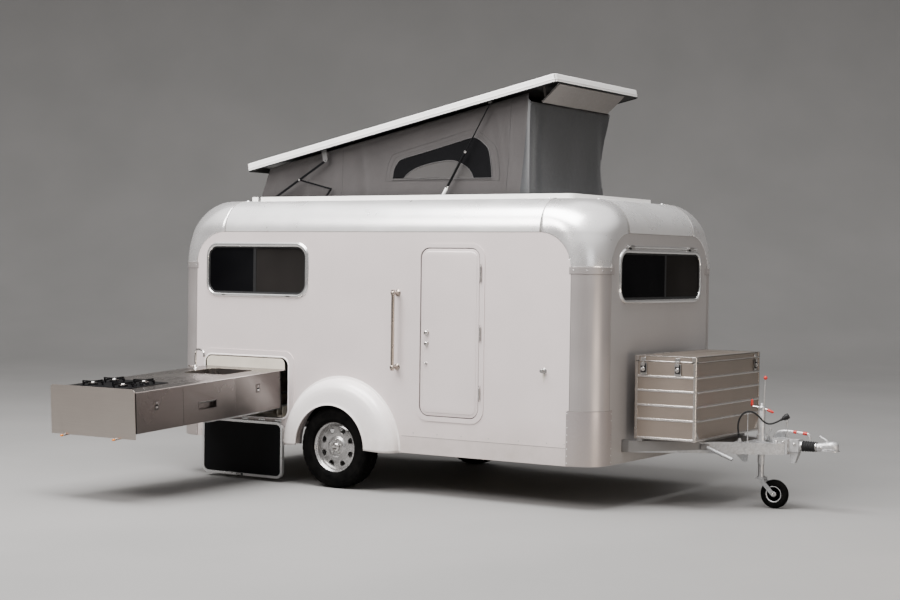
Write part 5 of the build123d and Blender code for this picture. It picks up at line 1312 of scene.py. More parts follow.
# hob: knobs on the front rail and burner caps
for hy in (-2.370, -2.160):
    for hx in (-1.080, -0.800):
        g.lathe([(0.0, 0.0330), (0.0030, 0.0330), (0.0045, 0.0300), (0.0048, 0.0270), (0.0085, 0.0270), (0.0100, 0.0255), (0.0105, 0.0)], (hx, hy, 0.8540), (0, 0, 1), CHROME, n=36)
for k in range(3):
    ky_ = -2.43 + 0.058 * k
    g.lathe([(0.0, 0.0150), (0.0030, 0.0150), (0.0050, 0.0125), (0.0140, 0.0118), (0.0155, 0.0100), (0.0155, 0.0)], (-0.720, ky_ + 0.10, 0.8440), (0, 0, 1), BLACK, n=24)
g.v = [tip(p) for p in g.v]
g.make(NODE_BODY["kitchen_carcass"], smooth=40)
g = Geo("drawer_outer_latch")
latch_plate(g, -2.400, KX + 0.013)
g.v = [tip(p) for p in g.v]
g.make(NODE_BODY["drawer_outer"], smooth=40)
g = Geo("drawer_middle_pull")
fo = rrect(-1.974, -1.779, 0.648, 0.714, 0.006, 5)
fi = rrect(-1.968, -1.785, 0.654, 0.708, 0.004, 5)
fx_ = KX + 0.013
rows = [on_x(fo, fx_ + 0.0002), on_x(fo, fx_ + 0.0014), on_x(fi, fx_ + 0.0016), on_x(fi, fx_ - 0.0030)]
g.grid(rows, STEEL_SHADED, close_u=True)
g.prism([(fx_ - 0.002, -1.967, 0.7070), (fx_ - 0.002, -1.786, 0.7070), (fx_ - 0.012, -1.786, 0.6960), (fx_ - 0.012, -1.967, 0.6960)], (0, 0, -0.0015), STEEL_DARK)
g.v = [tip(p) for p in g.v]
g.make(NODE_BODY["drawer_middle"], smooth=40)

# folding tap
KZ = 0.838
g = Geo("folding_tap")
g.lathe([(0.0, 0.0), (0.0, 0.0240), (0.0030, 0.0240), (0.0060, 0.0205), (0.0090, 0.0180), (0.0230, 0.0170), (0.0260, 0.0145), (0.0270, 0.0)], (-1.165, -1.200, KZ + 0.002), (0, 0, 1), CHROME, n=36)
tp = smooth_line([(-1.165, -1.200, KZ + 0.022), (-1.165, -1.200, KZ + 0.055), (-1.165, -1.200, KZ + 0.100), (-1.158, -1.2022, KZ + 0.130), (-1.136, -1.209, KZ + 0.1455),
                  (-1.100, -1.2205, KZ + 0.1480), (-1.068, -1.231, KZ + 0.1435), (-1.048, -1.2375, KZ + 0.1280), (-1.0405, -1.240, KZ + 0.1040)], 6)
g.tube(tp, 0.0085, CHROME, 20, radii=[0.0112 - 0.0030 * min(1, k / 12) for k in range(len(tp))])
g.lathe([(0.0, 0.0), (0.0, 0.0085), (0.0010, 0.0100), (0.0120, 0.0102), (0.0150, 0.0090), (0.0160, 0.0)], (-1.0402, -1.2402, KZ + 0.0960), (0.02, -0.01, 1), CHROME, n=24)
g.tube([(-1.165, -1.215, KZ + 0.018), (-1.165, -1.236, KZ + 0.021), (-1.165, -1.262, KZ + 0.026), (-1.165, -1.2745, KZ + 0.029)], 0.005, CHROME, 12, radii=[0.0060, 0.0046, 0.0050, 0.0066])
g.v = [tip(p) for p in g.v]
o = g.make(NODE_BODY["tap"], smooth=50)
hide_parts("tap")
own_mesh(o)

# ---------------------------------------------------------------------------
# canvas: one sheet round the tent
# ---------------------------------------------------------------------------
ZB = 2.0120
PT = math.radians(11.9)


def head(x):
    return 2.395 + (x + 1.160) * math.tan(PT) - 0.066 / math.cos(PT) - 0.001


def lerp_tab(t, v):
    for (a, b), (c, d) in zip(t, t[1:]):
        if v <= c:
            return b + (d - b) * (v - a) / (c - a)
    return t[-1][1]


REAR_X = [(2.000, -1.086), (2.120, -1.073), (2.197, -1.052), (2.259, -1.024), (2.313, -1.004), (2.345, -0.986), (3.0, -0.986)]


def fold(a, z, seed, amp):
    """Soft creases of a hanging sheet."""
    p = Vector((a * 2.1 + seed * 7.3, z * 1.1, seed))
    v = noise.noise(p) * 0.62 + noise.noise(Vector((a * 6.5 + z * 2.4, z * 2.0, seed + 3.1))) * 0.28 + noise.noise(Vector((a * 15.0 - z * 6.0, z * 7.0, seed + 9.4))) * 0.10
    return v * amp


def side_y(x, z):
    """Stand-off of the side cloth inwards from its plane."""
    top = head(min(x, 1.30))
    u = max(0.0, min(1.0, (z - ZB) / max(0.05, top - ZB)))
    e = 4 * u * (1 - u)
    ex = max(0.0, min(1.0, (x + 1.02) / 0.25)) * max(0.0, min(1.0, (1.26 - x) / 0.25))
    win = 1.0 - 0.75 * max(0.0, 1.0 - abs(x - 0.58) / 0.52) * max(0.0, 1.0 - abs(z - 2.40) / 0.30)
    # a pleat runs down from the head behind the window and in front of it
    pl = 0.0
    for px, lean, w_, a_ in ((1.165, 0.06, 0.028, 0.016), (1.105, 0.16, 0.020, 0.012), (1.215, -0.04, 0.016, 0.010), (-0.12, 0.10, 0.035, 0.010), (-0.62, -0.22, 0.045, 0.008), (-0.92, -0.40, 0.040, 0.012)):
        pl += a_ * math.exp(-((x - px + lean * (z - 2.4)) / w_) ** 2)
    sw = 0.006 * math.exp(-((u - 0.93) / 0.06) ** 2) * (0.5 + 0.5 * math.sin(x * 21.0 + 1.3 * math.sin(x * 5.0)))
    return e * (0.005 + (0.004 + fold(x, z, 1.7, 0.030) + pl * 1.35) * ex * win) + sw * ex


def side_pt(sy, x, z, off=0.0):
    return Vector((x, sy * (0.566 - side_y(x, z) + off), z))


NV = 44
g = Geo("tent_canvas")
cols = []
flags = []


def column(pts, kind):
    cols.append(pts)
    flags.append(kind)


XE = [(2.000, 1.236), (2.150, 1.251), (2.797, 1.326), (3.0, 1.326)]
NSX = 96


def side_columns(sy, back=False):
    out = []
    for i in range(NSX + 1):
        u = i / NSX
        col = []
        for j in range(NV + 1):
            v = j / NV
            # position along the side for this height
            xr = -1.086 + u * (1.236 + 1.086)
            zt = head(-0.986 + u * (1.322 + 0.986))
            z = ZB + (zt - ZB) * v
            x0_, x1_ = lerp_tab(REAR_X, z), lerp_tab(XE, z)
            x = x0_ + (x1_ - x0_) * u
            z = ZB + (head(x) - ZB) * v
            col.append(side_pt(sy, x, z))
        out.append(col)
    return out[::-1] if back else out


FY = {-1: [(2.0, 0.612), (2.45, 0.606), (2.80, 0.612)], 1: [(2.0, 0.560), (2.15, 0.520), (2.38, 0.486), (2.60, 0.530), (2.72, 0.575), (2.80, 0.600)]}
FZ = 2.786


def front_x(y, z):
    v = (z - ZB) / (FZ - ZB)
    e = 4 * v * (1 - v)
    return 1.3725 - e * (0.010 + 0.012 * noise.noise(Vector((y * 2.3, z * 1.4, 5.5))) + 0.010 * math.exp(-((abs(y) - 0.50 + 0.05 * (z - 2.4)) / 0.05) ** 2)) - 0.004 * v


def wing_columns(sy):
    """Strip from the end of the side cloth out to the front corner."""
    out = []
    for i in range(1, 9):
        u = i / 9
        col = []
        for j in range(NV + 1):
            v = j / NV
            zs = ZB + (head(1.322) - ZB) * v
            xe_ = lerp_tab(XE, zs)
            a = side_pt(sy, xe_, ZB + (head(xe_) - ZB) * v)
            z = ZB + (FZ - ZB) * v
            w = lerp_tab(FY[sy], z)
            b = Vector((front_x(sy * w, z), sy * w, z))
            p = a.lerp(b, u)
            # the strip buckles inwards as one long triangular fold
            p.x -= 0.010 * math.sin(math.pi * u) * v
            p.y -= sy * 0.014 * math.sin(math.pi * u) * 4 * v * (1 - v)
            col.append(p)
        out.append(col)
    return out


def front_columns():
    out = []
    for i in range(0, 49):
        u = i / 48
        col = []
        for j in range(NV + 1):
            v = j / NV
            z = ZB + (FZ - ZB) * v
            ya, yb = -lerp_tab(FY[-1], z), lerp_tab(FY[1], z)
            y = ya + (yb - ya) * u
            col.append(Vector((front_x(y, z), y, z)))
        out.append(col)
    return out


def rear_columns():
    out = []
    for i in range(1, 40):
        u = i / 40
        col = []
        for j in range(NV + 1):
            v = j / NV
            z = ZB + (head(-0.986) - ZB) * v
            y = 0.566 - 1.132 * u
            e = 4 * v * (1 - v)
            col.append(Vector((lerp_tab(REAR_X, z) + e * (0.004 + abs(fold(y, z, 4.2, 0.012))), y, z)))
        out.append(col)
    return out


right = side_columns(-1)
front = front_columns()
left = side_columns(1, True)
loopc = right + wing_columns(-1) + front + wing_columns(1)[::-1] + left + rear_columns()
g.grid([list(c) for c in loopc], CANVAS, close_v=True)
nr_ = len(right) + 8
nf_ = len(front)
# the front cloth and its wings take the darker copy: painted shade
fc = g.mat(CANVAS_FRONT_SHADED)
k = 0
for i in range(len(loopc)):
    for j in range(NV):
        if nr_ - 8 <= i < nr_ + nf_ + 7:
            g.mi[k] = fc
        k += 1
canvas_cols = loopc
flat_h, flat_w, flat_a = 0.0, 0.0, 0.0
for f in g.f:
    a, b, c, d = (g.v[q] for q in f)
    flat_a += (b - a).cross(c - a).length / 2 + (c - a).cross(d - a).length / 2
mid_row = [c[NV // 2] for c in loopc]
flat_w = sum((mid_row[i] - mid_row[i - 1]).length for i in range(len(mid_row)))
flat_h = max(sum((c[j + 1] - c[j]).length for j in range(NV)) for c in loopc)
tent = g.make(NODE_BODY["canvas"], smooth=75)
so = tent.modifiers.new("thick", "SOLIDIFY")
so.thickness = 0.0012
so.offset = 0.0
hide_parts("canvas")

# window of the side cloth: black mesh, rolled-back curtain, seams
MESH_POLY = [(0.162, 2.259), (0.176, 2.330), (0.206, 2.380), (0.248, 2.411), (0.45, 2.4575), (0.65, 2.504), (0.858, 2.552), (0.915, 2.538), (0.962, 2.503), (0.999, 2.46), (1.020, 2.36), (1.030, 2.258)]
HEM_POLY = [(0.096, 2.250), (0.110, 2.330), (0.140, 2.405), (0.183, 2.449), (0.40, 2.501), (0.62, 2.553), (0.843, 2.606), (0.925, 2.585), (0.995, 2.535), (1.055, 2.478), (1.083, 2.37), (1.092, 2.242)]
ARCH = [(0.266, 2.264), (0.300, 2.300), (0.370, 2.337), (0.459, 2.362), (0.570, 2.382), (0.676, 2.390), (0.755, 2.372), (0.822, 2.333), (0.855, 2.296), (0.874, 2.256)]


def fill(gg, sy, poly, off, m, nx=30, nz=16, z_lo=None, z_hi=None, fn=side_pt):
    """Sheet that fills a polygon on the side cloth."""
    zs = [p[1] for p in poly]
    lo_, hi_ = (z_lo or min(zs)) + 0.0005, (z_hi or max(zs)) - 0.0005
    rows = []
    for j in range(nz + 1):
        z = lo_ + (hi_ - lo_) * j / nz
        xs_ = []
        for (xa, za), (xb, zb) in zip(poly, poly[1:] + poly[:1]):
            if (za - z) * (zb - z) <= 0 and abs(za - zb) > 1e-9:
                xs_.append(xa + (xb - xa) * (z - za) / (zb - za))
        xa, xb = min(xs_), max(xs_)
        rows.append([fn(sy, xa + (xb - xa) * i / nx, z, off) for i in range(nx + 1)])
    gg.grid(rows, m, flip=(sy > 0))


def seam(gg, sy, pts, r, off, m, closed=False, n=6, step=8):
    line = smooth_line([(a, 0, b) for a, b in (pts + pts[:1] if closed else pts)], step)
    gg.tube([side_pt(sy, a, b, off) for a, _, b in line], r, m, n)


THREAD = make_plain("seam_tape", (0.036, 0.033, 0.033), 0.8, grain=400.0, amp=0.2)
HEM = make_canvas("hem_tape", (0.050, 0.047, 0.047))
g = Geo("tent_window")
for sy in (-1, 1):
    fill(g, sy, MESH_POLY, 0.0022, MESH, nx=44, nz=26)
    fill(g, sy, ARCH, 0.0036, CURTAIN, nx=30, nz=14)
    for poly_, r_, off_, m2 in ((MESH_POLY, 0.0034, 0.0022, HEM), (HEM_POLY, 0.0016, 0.0010, THREAD)):
        seam(g, sy, poly_, r_, off_, m2)
        (xa, za), (xb, zb) = poly_[-1], poly_[0]
        seam(g, sy, [(xa + (xb - xa) * k / 12, za + (zb - za) * k / 12) for k in range(13)], r_, off_, m2)
    inner_ = [(0.5 * (a + c), 0.5 * (b + d)) for (a, b), (c, d) in zip(MESH_POLY, HEM_POLY)]
    seam(g, sy, inner_, 0.0008, 0.0009, THREAD)
    seam(g, sy, ARCH, 0.0030, 0.0040, HEM)
    # vertical seams where the cloth's lengths join, and the foot hem
    for xb, xt in ((-0.305, -0.285), (1.135, 1.185)):
        seam(g, sy, [(xb + (xt - xb) * k / 8, ZB + 0.004 + (head(xt) - ZB - 0.008) * k / 8) for k in range(9)], 0.0013, 0.0010, THREAD)
    seam(g, sy, [(-1.070 + 0.2095 * k, ZB + 0.030) for k in range(12)], 0.0013, 0.0010, THREAD)
window_o = g.make(NODE_BODY["canvas"], smooth=50)
for o in (tent, window_o):
    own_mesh(o)


# ---------------------------------------------------------------------------
# pop-up roof
# ---------------------------------------------------------------------------
def raised(p):
    """Flat panel frame (rear top edge at the origin) to the raised roof."""
    c, s_ = math.cos(PT), math.sin(PT)
    return Vector((-1.160 + p[0] * c - p[2] * s_, p[1], 2.395 + p[0] * s_ + p[2] * c))


refine("roof_coaming", 0.0025)
refine("roof_front_lining", 0.0016)
# The roof pan's inside is painted dark: painted shade.
ROOF_UNDERSIDE_SHADE = make_plain("roof_underside_painted_shade", (0.075, 0.073, 0.072), 0.7, grain=60.0, amp=0.06)


def panel_rule(c, n):
    """Inside of the roof pan gets a dark colour: painted shade under the raised roof."""
    d = Vector((c.x + 1.160, 0, c.z - 2.395))
    loc_x = d.x * math.cos(PT) + d.z * math.sin(PT)
    loc_z = -d.x * math.sin(PT) + d.z * math.cos(PT)
    if loc_z < -0.0215 and n.z < 0.3 and 0.0095 < loc_x < 2.787 and abs(c.y) < 0.6355:
        return ROOF_UNDERSIDE_SHADE
    return None


o = refine("roof_panel", 0.0012, WHITE, angle=40.0)
paint(o, panel_rule)
g = Geo("roof_edge_seal")
PL, PW = 2.796, 0.645


def around(out, z, m_, extra=0.0):
    o_ = rrect(0.0 - out, PL + out + extra, -PW - out, PW + out, 0.034 + out, 8)
    return [raised((a, b, z)) for a, b in o_]


rows = [around(-0.0098, -0.0555, 0), around(-0.0098, -0.0610, 0), around(-0.0060, -0.0622, 0), around(-0.0015, -0.0616, 0), around(0.0006, -0.0590, 0), around(0.0006, -0.0565, 0), around(-0.0010, -0.0555, 0)]
g.grid(rows, RUBBER, close_u=True, close_v=True)
# drip rail round the pan's side
rows = [around(0.0000, -0.0340, 0), around(0.0026, -0.0350, 0), around(0.0034, -0.0385, 0), around(0.0026, -0.0415, 0), around(0.0000, -0.0425, 0)]
g.grid(rows, WHITE, close_u=True)
# front lip is deeper: a second rubber fold
for a0, a1 in ((-0.560, 0.560),):
    sec = [(PL - 0.0100, -0.0560), (PL - 0.0100, -0.0630), (PL - 0.0060, -0.0645), (PL - 0.0015, -0.0635), (PL + 0.0004, -0.0610), (PL + 0.0004, -0.0580)]
    rows = [[raised((a, y, b)) for a, b in sec] for y in [a0 + (a1 - a0) * k / 12 for k in range(13)]]
    g.grid(rows, RUBBER, close_u=True)
    g.fan(rows[0], RUBBER)
    g.fan(rows[-1], RUBBER, flip=True)
# stiffening swages on top of the pan
for y in (-0.36, -0.12, 0.12, 0.36):
    sec = [(-0.030, 0.0002), (-0.022, 0.0018), (-0.010, 0.0030), (0.010, 0.0030), (0.022, 0.0018), (0.030, 0.0002)]
    rows = []
    for k in range(25):
        u = k / 24
        e = min(1.0, 12 * u, 12 * (1 - u))
        rows.append([raised((0.14 + 2.50 * u, y + a * (0.6 + 0.4 * e), b * e - 0.0002)) for a, b in sec])
    g.grid(rows, WHITE)
g.make(NODE_BODY["roof_panel"], smooth=50)

g = Geo("roof_lining_rim")
# light frame round the front lining board, set on its outer face
f_top, f_bot = Vector((1.530, 0, 2.918)), Vector((1.392, 0, 2.793))
e_ = (f_bot - f_top).normalized()
nrm_f = Vector((-e_.z, 0, e_.x)).normalized()
if nrm_f.x < 0:
    nrm_f = -nrm_f
L_ = (f_bot - f_top).length


def lin(a, y, h):
    return f_top + e_ * a + Vector((0, y, 0)) + nrm_f * h


for y0, y1, a0, a1 in ((-0.5, 0.5, 0.004, 0.020), (-0.5, 0.5, L_ - 0.022, L_ - 0.004), (-0.5, -0.482, 0.004, L_ - 0.004), (0.482, 0.5, 0.004, L_ - 0.004)):
    g.prism([lin(a0, y0, 0.0004), lin(a0, y1, 0.0004), lin(a1, y1, 0.0004), lin(a1, y0, 0.0004)], nrm_f * 0.0045, WHITE)
for y in [-0.46 + 0.092 * k for k in range(11)]:
    dome(g, lin(0.012, y, 0.0048), nrm_f, 0.0034, 0.0016, CHROME)
    dome(g, lin(L_ - 0.013, y, 0.0048), nrm_f, 0.0034, 0.0016, CHROME)
g.make(NODE_BODY["roof_front_lining"], smooth=40, bevel=0.001)

for nd, w in (("rear_arms", 0.0014), ("brace_links", 0.0012), ("brace_cranks", 0.0012)):
    refine(nd, w, BLACK)


def strut_rule(c, n):
    return WHITE if c.z < 2.175 and c.z > 2.05 else None


o = refine("strut_cylinders", 0.0010, BLACK)
paint(o, strut_rule)
refine("strut_rods", 0.0008, BLACK)
g = Geo("strut_sleeves")
s0, s1 = Vector((0.579, 0, 2.036)), Vector((1.035, 0, 2.799))
du = (s1 - s0).normalized()
for sy in (-1, 1):
    base = s0 + Vector((0, sy * 0.598, 0))
    g.lathe([(0.030, 0.0092), (0.032, 0.0106), (0.060, 0.0112), (0.150, 0.0112), (0.178, 0.0106), (0.180, 0.0092)], base, du, WHITE, n=24)
    g.lathe([(0.182, 0.0092), (0.183, 0.0116), (0.196, 0.0116), (0.197, 0.0092)], base, du, CHROME, n=24)
    g.lathe([(0.470, 0.0088), (0.472, 0.0106), (0.4835, 0.0106), (0.486, 0.0080), (0.486, 0.0066)], base, du, STEEL_DARK, n=24)
g.make(NODE_BODY["strut_cylinders"], smooth=45)

# pin heads and washers of the linkage
g = Geo("linkage_pins")
for sy in (-1, 1):
    # on the arm, outer face: pivot at the tray and middle pin
    for px, pz in ((-1.085, 2.031), (-1.085 + 0.62 * (-0.416 + 1.085), 2.031 + 0.62 * (2.412 - 2.031))):
        g.lathe([(0.0, 0.0085), (0.0012, 0.0085), (0.0022, 0.0060), (0.0026, 0.0)], (px, sy * 0.6038, pz), (0, sy, 0), STEEL_DARK, n=20)
g.make(NODE_BODY["rear_arms"], smooth=45)

# ---------------------------------------------------------------------------
# storage box on the drawbar
# ---------------------------------------------------------------------------
BOX_SHEET = make_brushed("box_sheet", (0.34, 0.285, 0.242), 0.88, 0.33, 0.43, "y", 0.5, 0.16)
BOX_EDGE = make_brushed("box_profile_bright", (0.50, 0.465, 0.430), 0.92, 0.20, 0.30, "z", 0.2, 0.0)
BOX_RIB = make_brushed("box_rib_bright", (0.56, 0.53, 0.505), 0.90, 0.18, 0.28, "y", 0.2, 0.0)
bx0, bx1, by, bz0, bz1, lz = 2.186, 2.630, 0.548, 0.472, 0.996, 1.036


def box_rule(c, n):
    if (c.x > bx1 + 0.0004 or c.x < bx0 - 0.0004 or abs(c.y) > by + 0.0004) and min(abs(c.z - q) for q in (0.480, 0.607, 0.702, 0.802, 0.898)) < 0.012:
        return BOX_RIB
    rib = c.x > bx1 + 0.0004 or c.x < bx0 - 0.0004 or abs(c.y) > by + 0.0004
    if rib or (abs(n.z) > 0.9 and c.z > bz1 - 0.002):
        return BOX_EDGE
    return None


o = refine("storage_box", 0.0026, BOX_SHEET, seg=3)
paint(o, box_rule)


def lid_rule(c, n):
    if abs(n.z) < 0.3 and bz1 + 0.012 < c.z < lz - 0.010:
        return BOX_SHEET
    if n.z > 0.9 and bx0 + 0.03 < c.x < bx1 - 0.03 and abs(c.y) < by - 0.03:
        return BOX_SHEET
    return None


o = refine("box_lid", 0.0032, BOX_EDGE, seg=3)
paint(o, lid_rule)

g = Geo("box_edge_profiles")
gl = Geo("box_lid_profiles")


def corner_strip(gg, cx, cy, sx, sy, z0, z1, leg, t, m, r=0.006):
    """Angle strip round an upright corner, with a soft outer radius."""
    outer = [(cx - sx * leg, cy + sy * t)]
    for k in range(7):
        a = math.pi / 2 * k / 6
        outer.append((cx + sx * (t - r + r * math.sin(a)), cy + sy * (t - r + r * math.cos(a))))
    outer.append((cx + sx * t, cy - sy * leg))
    inner_ = [(cx + sx * 0.0002, cy - sy * leg), (cx + sx * 0.0002, cy + sy * 0.0002), (cx - sx * leg, cy + sy * 0.0002)]
    loop_ = outer + inner_
    rows_ = [[Vector((a, b, z)) for a, b in loop_] for z in (z0, z1)]
    gg.grid(rows_, m, close_u=True)
    gg.fan(rows_[0], m)
    gg.fan(rows_[-1], m, flip=True)


for sx, cx in ((1, bx1), (-1, bx0)):
    for sy in (-1, 1):
        corner_strip(g, cx, sy * by, sx, sy, bz0 - 0.002, bz1 - 0.001, 0.017, 0.0042, BOX_EDGE)
        corner_strip(gl, cx + sx * 0.002, sy * (by + 0.002), sx, sy, bz1 + 0.0025, lz + 0.0012, 0.030, 0.0026, BOX_EDGE)
        # corner gussets low on the ends
        for k, (a, b) in enumerate(((0.020, 0.060), )):
            g.prism([(cx + sx * 0.0002, sy * (by - 0.020), bz0 + 0.018), (cx + sx * 0.0002, sy * (by - 0.020), bz0 + 0.070), (cx + sx * 0.0002, sy * (by - 0.060), bz0 + 0.018)], (sx * 0.0030, 0, 0), BOX_EDGE)
# rounded rib backs
for z in (0.480, 0.607, 0.702, 0.802, 0.898):
    for sy in (-1, 1):
        sec = [(0.0028, z - 0.0062), (0.0046, z - 0.0045), (0.0054, z), (0.0046, z + 0.0045), (0.0028, z + 0.0062)]
        rows = [[Vector((x, sy * (by + h), b)) for h, b in sec] for x in (bx0 + 0.014, bx1 - 0.014)]
        g.grid(rows, BOX_RIB, close_u=True)
        g.fan(rows[0], BOX_RIB)
        g.fan(rows[-1], BOX_RIB, flip=True)
    for sx, cx in ((1, bx1), (-1, bx0)):
        sec = [(0.0028, z - 0.0062), (0.0046, z - 0.0045), (0.0054, z), (0.0046, z + 0.0045), (0.0028, z + 0.0062)]
        rows = [[Vector((cx + sx * h, y, b)) for h, b in sec] for y in (-by + 0.014, by - 0.014)]
        g.grid(rows, BOX_RIB, close_u=True)
        g.fan(rows[0], BOX_RIB)
        g.fan(rows[-1], BOX_RIB, flip=True)


def latch(gb, gtop, pos, n, t):
    """Butterfly latch: strike on the lid, body and key wing on the box."""
    p, n, t = Vector(pos), Vector(n), Vector(t)
    up_ = Vector((0, 0, 1))

    def pl(gg, w, z0_, z1_, h0, h1, m, r=0.004, off=0.0):
        o_ = rrect(-w / 2, w / 2, z0_, z1_, r, 4)
        gg.prism([p + t * (a + off) + up_ * b + n * h0 for a, b in o_], n * (h1 - h0), m)
    pl(gtop, 0.040, 0.004, 0.030, 0.0, 0.0030, CHROME)
    pl(gtop, 0.022, 0.002, 0.014, 0.0028, 0.0085, CHROME, 0.003)
    pl(gb, 0.048, -0.090, -0.006, 0.0, 0.0030, STEEL_DARK, 0.007)
    pl(gb, 0.036, -0.072, -0.010, 0.0028, 0.0085, BLACK, 0.006)
    pl(gb, 0.028, -0.028, -0.003, 0.0082, 0.0125, CHROME, 0.004)
    gb.lathe([(0.0082, 0.0150), (0.0125, 0.0150), (0.0140, 0.0130), (0.0140, 0.0)], p + up_ * -0.050, n, CHROME, n=28)
    # two folded wings
    for s_ in (-1, 1):
        w_ = [(0.001, -0.0035), (0.0135, -0.0075), (0.0155, 0.0), (0.0135, 0.0075), (0.001, 0.0035)]
        gb.prism([p + t * (s_ * a) + up_ * (b - 0.050) + n * (0.0142 + 0.004 * (a / 0.0155)) for a, b in w_], n * 0.0018, CHROME)
    for a, b in ((-0.018, -0.083), (0.018, -0.083)):
        dome(gb, p + t * a + up_ * b + n * 0.0030, n, 0.0032, 0.0016, CHROME)


for lx in (2.246, 2.500):
    latch(g, gl, (lx, -(by + 0.0046), bz1), (0, -1, 0), (1, 0, 0))
latch(g, gl, (bx1 + 0.0046, 0.458, bz1), (1, 0, 0), (0, 1, 0))
# lid: raised rim round the top sheet
o_ = rrect(bx0 - 0.002, bx1 + 0.002, -by - 0.002, by + 0.002, 0.006, 4)
m_ = rrect(bx0 + 0.001, bx1 - 0.001, -by + 0.001, by - 0.001, 0.006, 4)
i_ = rrect(bx0 + 0.024, bx1 - 0.024, -by + 0.024, by - 0.024, 0.010, 4)
rows = [[Vector((a, b, lz - 0.003)) for a, b in o_], [Vector((a, b, lz + 0.0012)) for a, b in o_], [Vector((a, b, lz + 0.0034)) for a, b in m_],
        [Vector((a, b, lz + 0.0034)) for a, b in rrect(bx0 + 0.018, bx1 - 0.018, -by + 0.018, by - 0.018, 0.010, 4)], [Vector((a, b, lz + 0.0002)) for a, b in i_]]
gl.grid(rows, BOX_EDGE, close_u=True)
# bright folded edge along the lid's lower rim
rows = [[Vector((a, b, z)) for a, b in rrect(bx0 - 0.002 - h, bx1 + 0.002 + h, -by - 0.002 - h, by + 0.002 + h, 0.006 + h, 4)]
        for z, h in ((bz1 + 0.0030, -0.0010), (bz1 + 0.0030, 0.0016), (bz1 + 0.0045, 0.0026), (bz1 + 0.0085, 0.0026), (bz1 + 0.0100, 0.0016), (bz1 + 0.0100, -0.0010))]
gl.grid(rows, BOX_RIB, close_u=True)
for x_ in (bx0 + 0.148, bx0 + 0.296):
    sec = [(-0.016, 0.0002), (-0.010, 0.0022), (0.010, 0.0022), (0.016, 0.0002)]
    rows = [[Vector((x_ + a, y, lz + b)) for a, b in sec] for y in (-by + 0.06, by - 0.06)]
    gl.grid(rows, BOX_SHEET, close_u=True)
    gl.fan(rows[0], BOX_SHEET)
    gl.fan(rows[-1], BOX_SHEET, flip=True)
g.make(NODE_BODY["storage_box"], smooth=38, bevel=0.0006)
gl.make(NODE_BODY["box_lid"], smooth=38, bevel=0.0006)

# ---------------------------------------------------------------------------
# drawbar
# ---------------------------------------------------------------------------
# Under the box the frame gets a plain dark grey: a plate finish, darkened as painted shade from the box.
PLATE_UNDER_BOX_SHADED = make_plain("frame_plate_grey_box_shade", (0.20, 0.192, 0.186), 0.42, metallic=0.6, grain=40.0, amp=0.05)


# frame faces under the box take the darkened plate grey: painted shade
def frame_rule(c, n):
    return PLATE_UNDER_BOX_SHADED if c.x < 2.66 else None


o = refine("chassis_frame", 0.0026, GALV)
paint(o, frame_rule)
refine("overrun_housing", 0.0040, GALV_LIGHT, seg=3)
g = Geo("coupling_cast")
rows = []
for x_, hw_, za, zb in ((3.282, 0.027, 0.413, 0.467), (3.300, 0.028, 0.412, 0.470), (3.320, 0.030, 0.414, 0.474), (3.345, 0.034, 0.418, 0.478), (3.370, 0.039, 0.420, 0.484),
                        (3.390, 0.040, 0.420, 0.486), (3.410, 0.034, 0.421, 0.480), (3.424, 0.022, 0.422, 0.468), (3.4295, 0.006, 0.424, 0.455)):
    row = []
    for k in range(36):
        a = 2 * math.pi * k / 36
        ca, sa = math.cos(a), math.sin(a)
        ex_ = 0.62 if sa < 0 else 0.88
        row.append(Vector((x_, hw_ * math.copysign(abs(ca) ** ex_, ca), 0.5 * (za + zb) + 0.5 * (zb - za) * math.copysign(abs(sa) ** ex_, sa))))
    rows.append(row)
g.grid(rows, GALV_LIGHT, close_u=True)
g.fan(rows[0], GALV_LIGHT)
g.fan(rows[-1], GALV_LIGHT, flip=True)
g.lathe([(0.0, 0.0), (0.0, 0.0220), (0.240, 0.0220), (0.240, 0.0)], (3.090, 0, 0.440), (1, 0, 0), GALV_LIGHT, n=36)
lip = [(3.322, -0.036), (3.345, -0.042), (3.400, -0.044), (3.424, -0.032), (3.432, -0.012), (3.432, 0.012), (3.424, 0.032), (3.400, 0.044), (3.345, 0.042), (3.322, 0.036)]
g.prism([(a, b, 0.4160) for a, b in lip], (0, 0, 0.0070), GALV_LIGHT)
g.lathe([(0.0, 0.0330), (0.0030, 0.0330), (0.0030, 0.0265), (0.0008, 0.0262)], (3.385, 0, 0.4162), (0, 0, -1), GALV, n=40)
g.lathe([(0.0008, 0.0262), (0.0008, 0.0)], (3.385, 0, 0.4162), (0, 0, -1), BLACK, n=40)
g.tube(smooth_line([(3.352, 0.0, 0.470), (3.345, 0.0, 0.484), (3.332, 0.0, 0.493), (3.318, 0.0, 0.500), (3.305, 0.0, 0.507), (3.294, 0.0, 0.513)], 4), 0.0085, GALV_LIGHT, 16)
o = g.make(NODE_BODY["coupling_head"], smooth=45)
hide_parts("coupling_head")
refine("jockey_clamp", 0.0018, GALV_LIGHT)
refine("jockey_fork", 0.0016, GALV)
refine("cable_clips", 0.0008, GALV)
refine("axle_arms", 0.0022, GALV)
refine("axle_beam", 0.0022, GALV)

